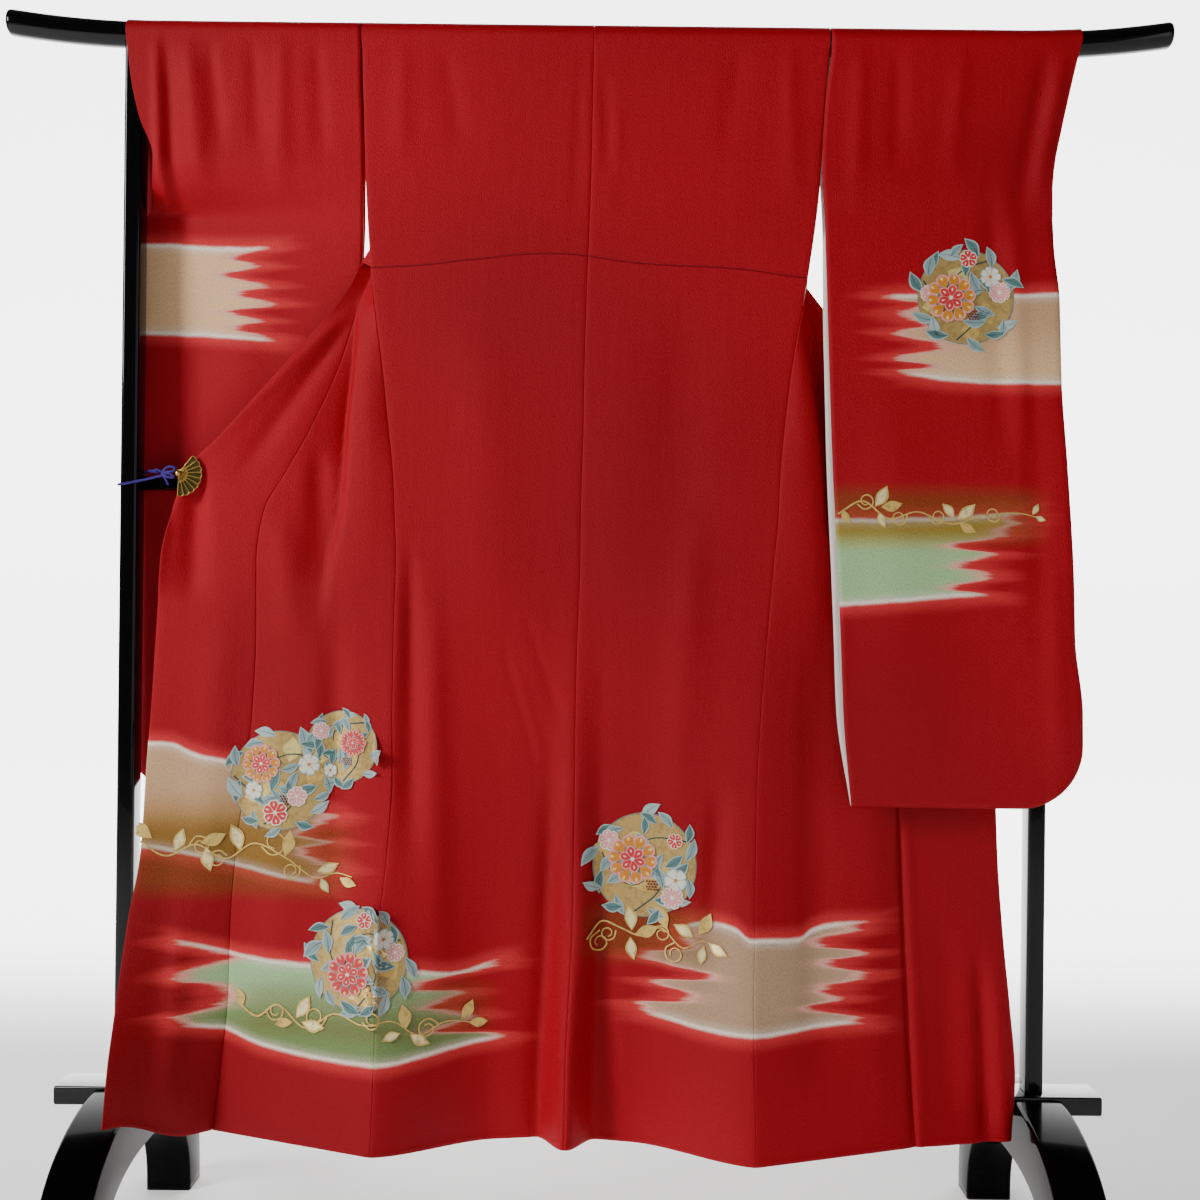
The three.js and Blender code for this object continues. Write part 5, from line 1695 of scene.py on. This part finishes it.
def at_angle(x, z, radius, degrees):
    """The place at a distance from x, z, in a direction in degrees from +x towards +z."""
    a = np.radians(degrees)
    return x + radius * np.cos(a), z + radius * np.sin(a)


def placed(outline, x, z, degrees):
    """An outline turned and moved. x, z and degrees may be arrays, one for each copy."""
    x, z, degrees = (np.atleast_1d(np.asarray(v, float))[:, None] for v in (x, z, degrees))
    a = np.radians(degrees)
    u, v = outline[None, :, 0], outline[None, :, 1]
    return np.stack([x + u * np.cos(a) - v * np.sin(a), z + u * np.sin(a) + v * np.cos(a)], axis=2)


class Motifs:
    """Collects flat shapes for one piece. Each lies on the cloth, a little above the last level."""

    def __init__(self, relief):
        self.relief = relief
        self.flat, self.level, self.faces, self.tint, self.gold = [], [], [], [], []
        self.count = 0

    def add(self, flat, faces, tint, level, gold):
        """Takes in flat points and faces of one tint."""
        self.flat.append(flat)
        self.level.append(np.full(len(flat), float(level)))
        self.faces += [[n + self.count for n in face] for face in faces]
        self.tint += [tint] * len(faces)
        self.gold += [1 if gold else 0] * len(faces)
        self.count += len(flat)

    def fill(self, outlines, tint, level, gold=False):
        """Outlines (copies, points, 2) filled as fans about their middles, with one ring between."""
        x, z = outlines[0].T
        if np.sum(x * np.roll(z, -1) - z * np.roll(x, -1)) < 0:
            outlines = outlines[:, ::-1]
        n = outlines.shape[1]
        i = np.arange(n)
        k = (i + 1) % n
        faces = np.stack([i, k, n + k, n + i], axis=1).tolist()
        faces += np.stack([n + i, n + k, 0 * i + 2 * n], axis=1).tolist()
        for outline in outlines:
            middle = outline.mean(axis=0)
            points = np.concatenate([outline, mix(middle, outline, 0.5), middle[None]])
            self.add(points, faces, tint, level, gold)

    def ring(self, x, z, inner, outer, tint, level, gold=False, steps=2, around=56):
        """A disc or a ring as a polar grid."""
        a = np.linspace(0, 2 * np.pi, around, endpoint=False)
        r = np.linspace(max(inner, 0.2), outer, steps + 1)[:, None]
        flat = np.stack([x + r * np.cos(a), z + r * np.sin(a)], axis=2).reshape(-1, 2)
        quads = tube_quads(steps + 1, around)[:, [0, 3, 2, 1]]
        self.add(flat, quads.tolist(), tint, level, gold)

    def line(self, points, wide0, wide1, tint, level, gold=False, count=24):
        """A ribbon along a smooth line, from one width to another."""
        line = smooth_line(points, count)
        way = np.gradient(line, axis=0)
        side = unit(np.stack([-way[:, 1], way[:, 0]], axis=1))
        half = np.linspace(wide0, wide1, count)[:, None] / 2
        flat = np.concatenate([line - side * half, line + side * half])
        i = np.arange(count - 1)
        quads = np.stack([i, i + 1, i + 1 + count, i + count], axis=1)
        self.add(flat, quads.tolist(), tint, level, gold)

    def piece(self, name):
        """The finished piece: every shape laid on the relief, without what lies beyond it."""
        flat = np.concatenate(self.flat)
        level = np.concatenate(self.level)
        depth = self.relief.depth(flat[:, 0], flat[:, 1])
        known = ~np.isnan(depth)
        keep = np.array([all(known[n] for n in f) for f in self.faces])
        faces = [f for f, k in zip(self.faces, keep) if k]
        tint = np.array(self.tint)[keep]
        gold = np.array(self.gold)[keep]
        used = np.unique(np.concatenate([np.array(f) for f in faces]))
        number = np.zeros(len(flat), int)
        number[used] = np.arange(len(used))
        faces = [[int(number[n]) for n in f] for f in faces]
        y = np.where(known, depth, 0) - CLOTH / 2 - MOTIF_LIFT - MOTIF_STEP * level
        points = np.stack([flat[:, 0], y, flat[:, 1]], axis=1)[used]
        made = build(name, points, faces, [MOTIF_DYE, MOTIF_GOLD], gold, smooth=False)
        layer = made.data.color_attributes.new("tint", "FLOAT_COLOR", "CORNER")
        sizes = np.array([len(f) for f in faces])
        layer.data.foreach_set("color", np.repeat(tint, sizes, axis=0).astype(np.float32).ravel())


def leaf(motifs, x, z, degrees, long, wide, tint, level, bend=0.25):
    """A leaf: a pale edge, its own tint inside, and a midrib."""
    motifs.fill(placed(leaf_shape(long, wide, bend), x, z, degrees), LEAF_PALE, level)
    inner = leaf_shape(long * 0.88, wide * 0.74, bend)
    motifs.fill(placed(inner, *at_angle(x, z, long * 0.06, degrees), degrees), tint, level + 1)
    s = np.linspace(0.08, 0.86, 6)
    rib_line = np.stack([long * s, bend * long * (s**2 - s)], axis=1)
    motifs.line(placed(rib_line, x, z, degrees)[0], 0.9, 0.4, STEM, level + 2, count=8)


def flower(motifs, x, z, radius, petals, tint, level, turn, edge, heart, notch=0.0, full=1.0):
    """A flower: petals with a pale edge, a small streak on each, and a round heart."""
    degrees = turn + np.arange(petals) * 360 / petals
    wide = 2 * radius * math.sin(math.pi / petals) * 0.74 * full
    layers = [
        (petal(radius, wide, 0.7, notch), 0, edge),
        (petal(radius * 0.86, wide * 0.76, 0.7, notch), 0.05, tint),
        (petal(radius * 0.3, wide * 0.16, 0.8), 0.42, CREAM),
    ]
    for step, (shape, root, shade) in enumerate(layers):
        roots = at_angle(x, z, radius * root, degrees)
        motifs.fill(placed(shape, *roots, degrees), shade, level + step)
    motifs.ring(x, z, 0, radius * 0.15, heart, level + 3, around=12)


def double_flower(motifs, x, z, radius, level, turn, tint):
    """A flower with a wreath of ten small outer petals round six coral inner ones."""
    petals = 10
    degrees = turn + np.arange(petals) * 360 / petals
    wide = 2 * radius * math.sin(math.pi / petals) * 0.84
    roots = at_angle(x, z, radius * 0.42, degrees)
    tips = at_angle(x, z, radius * 0.72, degrees)
    motifs.fill(placed(petal(radius * 0.6, wide, 0.55), *roots, degrees), PINK, level)
    motifs.fill(placed(petal(radius * 0.53, wide * 0.76, 0.55), *roots, degrees), tint, level + 1)
    motifs.fill(placed(petal(radius * 0.2, wide * 0.24, 0.8), *tips, degrees), PALE_GOLD, level + 2)
    flower(motifs, x, z, radius * 0.56, 6, CORAL, level + 3, turn + 12, PINK, CREAM, 0.0, 0.95)


def roundel(motifs, x, z, radius, seed, double, singles):
    """A roundel: gold ground, leaves along its rim and inside, pale gold leaves, stems, berries
    and flowers. double and singles give places and sizes as shares of the radius."""
    rng = np.random.default_rng(seed)
    motifs.ring(x, z, 0, radius * 0.965, RIM, 0, steps=18, around=88)
    motifs.ring(x, z, 0, radius * 0.945, GROUND, 1, gold=True, steps=18, around=88)
    for k in range(5):
        a = k * 72 + rng.uniform(-15, 15)
        place = at_angle(x, z, radius * rng.uniform(0.3, 0.6), a)
        shape = placed(leaf_shape(radius * 0.5, radius * 0.36, 0.2), *place, rng.uniform(0, 360))
        motifs.fill(shape, PALE_GOLD if k % 2 else VINE_GOLD, 2, gold=True)
    for k in range(3):
        a = k * 120 + rng.uniform(0, 60)
        turns = a + math.degrees(rng.uniform(1.2, 2.0)) * np.array([0, 0.35, 0.7, 1])
        line = np.stack(at_angle(x, z, radius * np.array([0.9, 0.6, 0.45, 0.3]), turns), axis=1)
        motifs.line(line, 2.2, 1.2, STEM, 3, count=20)
    tints = [LEAF_GREY, LEAF_TEAL, LEAF_GREY, LEAF_TEAL, LEAF_PALE]
    for k in range(RIM_LEAVES):
        a = k * 360 / RIM_LEAVES + rng.uniform(-8, 8)
        way = rng.choice([-1, 1])
        lean = way * rng.uniform(48, 84)
        long = radius * rng.uniform(0.36, 0.52)
        place = at_angle(x, z, radius * rng.uniform(0.76, 0.9), a)
        wide = long * rng.uniform(0.4, 0.5)
        leaf(motifs, *place, a + lean, long, wide, tints[k % 5], 4 + 3 * (k % 2), 0.3 * way)
    for k in range(INNER_LEAVES):
        a = k * 360 / INNER_LEAVES + rng.uniform(-10, 10)
        place = at_angle(x, z, radius * rng.uniform(0.16, 0.66), a)
        long = radius * rng.uniform(0.36, 0.5)
        leaf(motifs, *place, rng.uniform(0, 360), long, long * 0.46, tints[(k + 1) % 4], 10, 0.3)
    for fx, fz, size, tint, petals in singles:
        edge, heart = (LEAF_PALE, OCHRE) if tint == CREAM else (CREAM, CREAM)
        middle = (x + fx * radius, z + fz * radius)
        turn = rng.uniform(0, 60)
        flower(motifs, *middle, size * radius, petals, tint, 14, turn, edge, heart, 0.12)
    dx, dz, size, tint = double
    middle = (x + dx * radius, z + dz * radius)
    double_flower(motifs, *middle, size * radius, 18, rng.uniform(0, 30), tint)
    for k in range(BERRIES):
        bx = x + radius * (0.05 + 0.055 * (k % 4)) + radius * 0.03 * (k // 4 % 2)
        bz = z - radius * (0.3 + 0.05 * (k // 4))
        motifs.ring(bx, bz, 0, radius * 0.022, BERRY, 13, steps=1, around=7)


def curl(x, z, size, start, turns, way):
    """A tendril's points: a spiral that tightens by half at each turn."""
    t = np.linspace(0, 1, 9)
    spiral = at_angle(x, z, size * 0.5 ** (turns * t), start + way * 360 * turns * t)
    root = at_angle(0, 0, size, start)
    return np.stack([spiral[0] - root[0], spiral[1] - root[1]], axis=1)


def vine(motifs, points, leaves, curls, wide=2.6):
    """A gold vine: a stem, leaves of gold leaf and pale gold, and curled tendrils. A leaf is
    (x, z, degrees, length, tint), a tendril (x, z, size, start, turns, way)."""
    motifs.line(points, wide, wide * 0.5, VINE_GOLD, 2, gold=True, count=60)
    for x, z, degrees, long, tint in leaves:
        outer, inner = leaf_shape(long, long * 0.5, 0.2), leaf_shape(long * 0.8, long * 0.34, 0.2)
        root = at_angle(x, z, 0.08 * long, degrees)
        motifs.fill(placed(outer, x, z, degrees), VINE_GOLD, 3, gold=True)
        motifs.fill(placed(inner, *root, degrees), tint, 4, gold=True)
    for tendril in curls:
        motifs.line(curl(*tendril), wide * 0.85, wide * 0.6, VINE_GOLD, 2, gold=True, count=40)


MOTIF_DYE = motif_dye()
MOTIF_GOLD = motif_gold()

on_sleeve = Motifs(Relief(grids["sleeve_right"]).smoothed(REACH))
# A roundel's flowers: the double one's place, size and tint, and the others' with their petals
roundel(on_sleeve, 523, 1349, 69, 3, (-0.3, -0.02, 0.5, OCHRE),
        [(0.5, 0.42, 0.24, CREAM, 7), (0.68, 0.1, 0.24, PINK, 8), (-0.74, 0.06, 0.2, PINK, 6),
         (0.06, 0.78, 0.2, CORAL, 5)])
vine(on_sleeve,
     [[346, 1046], [380, 1064], [415, 1040], [455, 1050], [500, 1034], [545, 1046], [590, 1050],
      [622, 1044]],
     [(396, 1056, 60, 34, VINE_PALE), (404, 1056, 10, 30, VINE_GOLD), (402, 1050, -70, 24, VINE_PALE),
      (352, 1052, -60, 22, VINE_GOLD), (508, 1040, 40, 34, VINE_PALE), (512, 1036, -30, 26, VINE_GOLD),
      (505, 1042, 130, 26, VINE_PALE), (612, 1048, 60, 18, VINE_PALE), (616, 1046, -20, 16, VINE_PALE)],
     [(372, 1060, 13, 200, 1.3, 1), (440, 1046, 12, 20, 1.3, -1), (470, 1044, 12, 180, 1.4, 1),
      (570, 1048, 12, 0, 1.3, -1)])
on_sleeve.piece("motifs_sleeve_right")

on_left = Motifs(Relief(grids["front_left"], grids["back_left"]).smoothed(REACH))
roundel(on_left, -331, 718, 52, 11, (0.3, 0.12, 0.36, CORAL),
        [(-0.56, 0.42, 0.26, PINK, 6), (-0.3, -0.62, 0.2, CREAM, 6)])
roundel(on_left, -417, 671, 71, 12, (-0.36, 0.32, 0.38, OCHRE),
        [(-0.06, -0.62, 0.28, CORAL, 6), (0.58, 0.32, 0.24, CREAM, 6), (0.36, -0.3, 0.22, PINK, 5),
         (-0.5, -0.2, 0.2, CREAM, 6)])
vine(on_left,
     [[-606, 586], [-570, 566], [-530, 582], [-490, 562], [-450, 584], [-405, 566], [-366, 540],
      [-335, 546], [-312, 542]],
     [(-590, 590, 150, 38, VINE_GOLD), (-560, 572, 70, 34, VINE_PALE), (-524, 584, 20, 36, VINE_GOLD),
      (-516, 580, -80, 36, VINE_PALE), (-470, 572, 110, 40, VINE_PALE), (-406, 568, 80, 36, VINE_GOLD),
      (-362, 548, 20, 32, VINE_PALE), (-356, 540, -60, 24, VINE_PALE), (-330, 540, -20, 26, VINE_GOLD)],
     [(-540, 580, 16, 180, 1.4, -1), (-440, 580, 20, 200, 1.2, 1), (-488, 566, 14, 20, 1.3, 1),
      (-385, 556, 14, 30, 1.3, -1)])
roundel(on_left, -299, 434, 70, 13, (-0.2, -0.28, 0.42, CORAL),
        [(0.5, 0.42, 0.22, CREAM, 7), (0.72, 0.16, 0.2, PINK, 6), (0.1, 0.74, 0.18, CORAL, 5)])
vine(on_left,
     [[-470, 366], [-440, 350], [-410, 368], [-370, 340], [-330, 362], [-290, 350], [-250, 356],
      [-215, 336], [-180, 350], [-140, 344]],
     [(-384, 352, 60, 36, VINE_PALE), (-376, 348, -10, 34, VINE_PALE), (-388, 346, 190, 26, VINE_GOLD),
      (-462, 362, 110, 24, VINE_GOLD), (-232, 344, 100, 34, VINE_GOLD), (-226, 338, -30, 30, VINE_PALE),
      (-238, 340, 200, 26, VINE_PALE), (-160, 350, 60, 30, VINE_GOLD), (-150, 346, 0, 26, VINE_GOLD)],
     [(-428, 360, 15, 180, 1.4, 1), (-340, 356, 17, 0, 1.4, -1), (-290, 354, 14, 200, 1.3, 1),
      (-190, 348, 15, 20, 1.3, 1)])
on_left.piece("motifs_left")

on_right = Motifs(Relief(grids["back_right"]).smoothed(REACH))
roundel(on_right, 88, 561, 74, 14, (-0.22, 0.1, 0.46, OCHRE),
        [(-0.66, 0.44, 0.22, PINK, 6), (0.58, -0.26, 0.24, CREAM, 5), (0.52, -0.58, 0.24, PINK, 7),
         (0.56, 0.46, 0.16, CORAL, 5)])
vine(on_right,
     [[10, 460], [30, 482], [56, 474], [84, 464], [112, 476], [140, 452], [168, 462], [192, 452]],
     [(72, 470, 100, 36, VINE_PALE), (76, 466, 20, 34, VINE_GOLD), (70, 462, -80, 32, VINE_PALE),
      (120, 476, 120, 34, VINE_GOLD), (156, 466, 150, 32, VINE_PALE), (162, 470, 60, 34, VINE_GOLD),
      (176, 460, -30, 28, VINE_PALE), (170, 456, -100, 26, VINE_PALE)],
     [(28, 470, 16, 90, 1.4, 1), (100, 468, 13, 180, 1.4, -1), (50, 470, 12, 20, 1.3, -1),
      (130, 458, 15, 90, 1.3, 1)])
on_right.piece("motifs_right")

# Stage: floor and backdrop in one sweep, lights, camera


def stage():
    """A pale floor that curves up into a glowing backdrop."""
    angle = np.linspace(0, np.pi / 2, 24)
    y = np.concatenate([[FLOOR_FRONT], FLOOR_BEND + WALL_BEND * np.sin(angle), [FLOOR_BEND + WALL_BEND]])
    z = np.concatenate([[0], WALL_BEND * (1 - np.cos(angle)), [WALL_TOP]])
    x = np.array([-FLOOR_HALF, FLOOR_HALF])
    points = np.array([[a, b, c] for b, c in zip(y, z) for a in x])
    mesh = bpy.data.meshes.new("floor")
    mesh.from_pydata((points * MM).tolist(), [], grid_quads(len(y), 2).tolist())
    mesh.polygons.foreach_set("use_smooth", np.ones(len(mesh.polygons), bool))
    finish = Finish("floor paper", (0.94, 0.94, 0.94, 1), 0.9, emission_strength=WALL_GLOW)
    place = finish.place()
    mottle = finish.noise(place, 3.0, 2.0)
    finish.into("Base Color", finish.tint(mottle, (0.95, 0.95, 0.95, 1), (0.93, 0.93, 0.93, 1)))
    rise = finish.soft_step(finish.axis(place, 1), GLOW_FROM, GLOW_TO)
    finish.into("Emission Color", finish.tint(rise, (0.03, 0.03, 0.03, 1), (1, 1, 1, 1)))
    mesh.materials.append(finish.material)
    floor = bpy.data.objects.new("floor", mesh)
    bpy.context.scene.collection.objects.link(floor)


def area_light(name, place, aim, wide, high, power):
    """A soft rectangular light at a place, turned towards a point."""
    data = bpy.data.lights.new(name, "AREA")
    data.shape = "RECTANGLE"
    data.size, data.size_y = wide, high
    data.energy = power
    lamp = bpy.data.objects.new(name, data)
    bpy.context.scene.collection.objects.link(lamp)
    lamp.location = place
    lamp.rotation_mode = "QUATERNION"
    lamp.rotation_quaternion = (Vector(aim) - Vector(place)).to_track_quat("-Z", "Y")


stage()
world = bpy.data.worlds.new("studio")
world.use_nodes = True
world.node_tree.nodes["Background"].inputs["Color"].default_value = (1, 1, 1, 1)
world.node_tree.nodes["Background"].inputs["Strength"].default_value = WORLD_LIGHT
bpy.context.scene.world = world
for light in LIGHTS:
    area_light(*light)

camera_data = bpy.data.cameras.new("camera")
camera_data.lens = LENS
camera_data.sensor_width = SENSOR
camera = bpy.data.objects.new("camera", camera_data)
bpy.context.scene.collection.objects.link(camera)
camera.location = CAMERA_PLACE
turn = Matrix.Rotation(math.radians(90), 4, "X") @ Matrix.Rotation(math.radians(ROLL), 4, "Z")
camera.rotation_euler = turn.to_euler()
bpy.context.scene.camera = camera
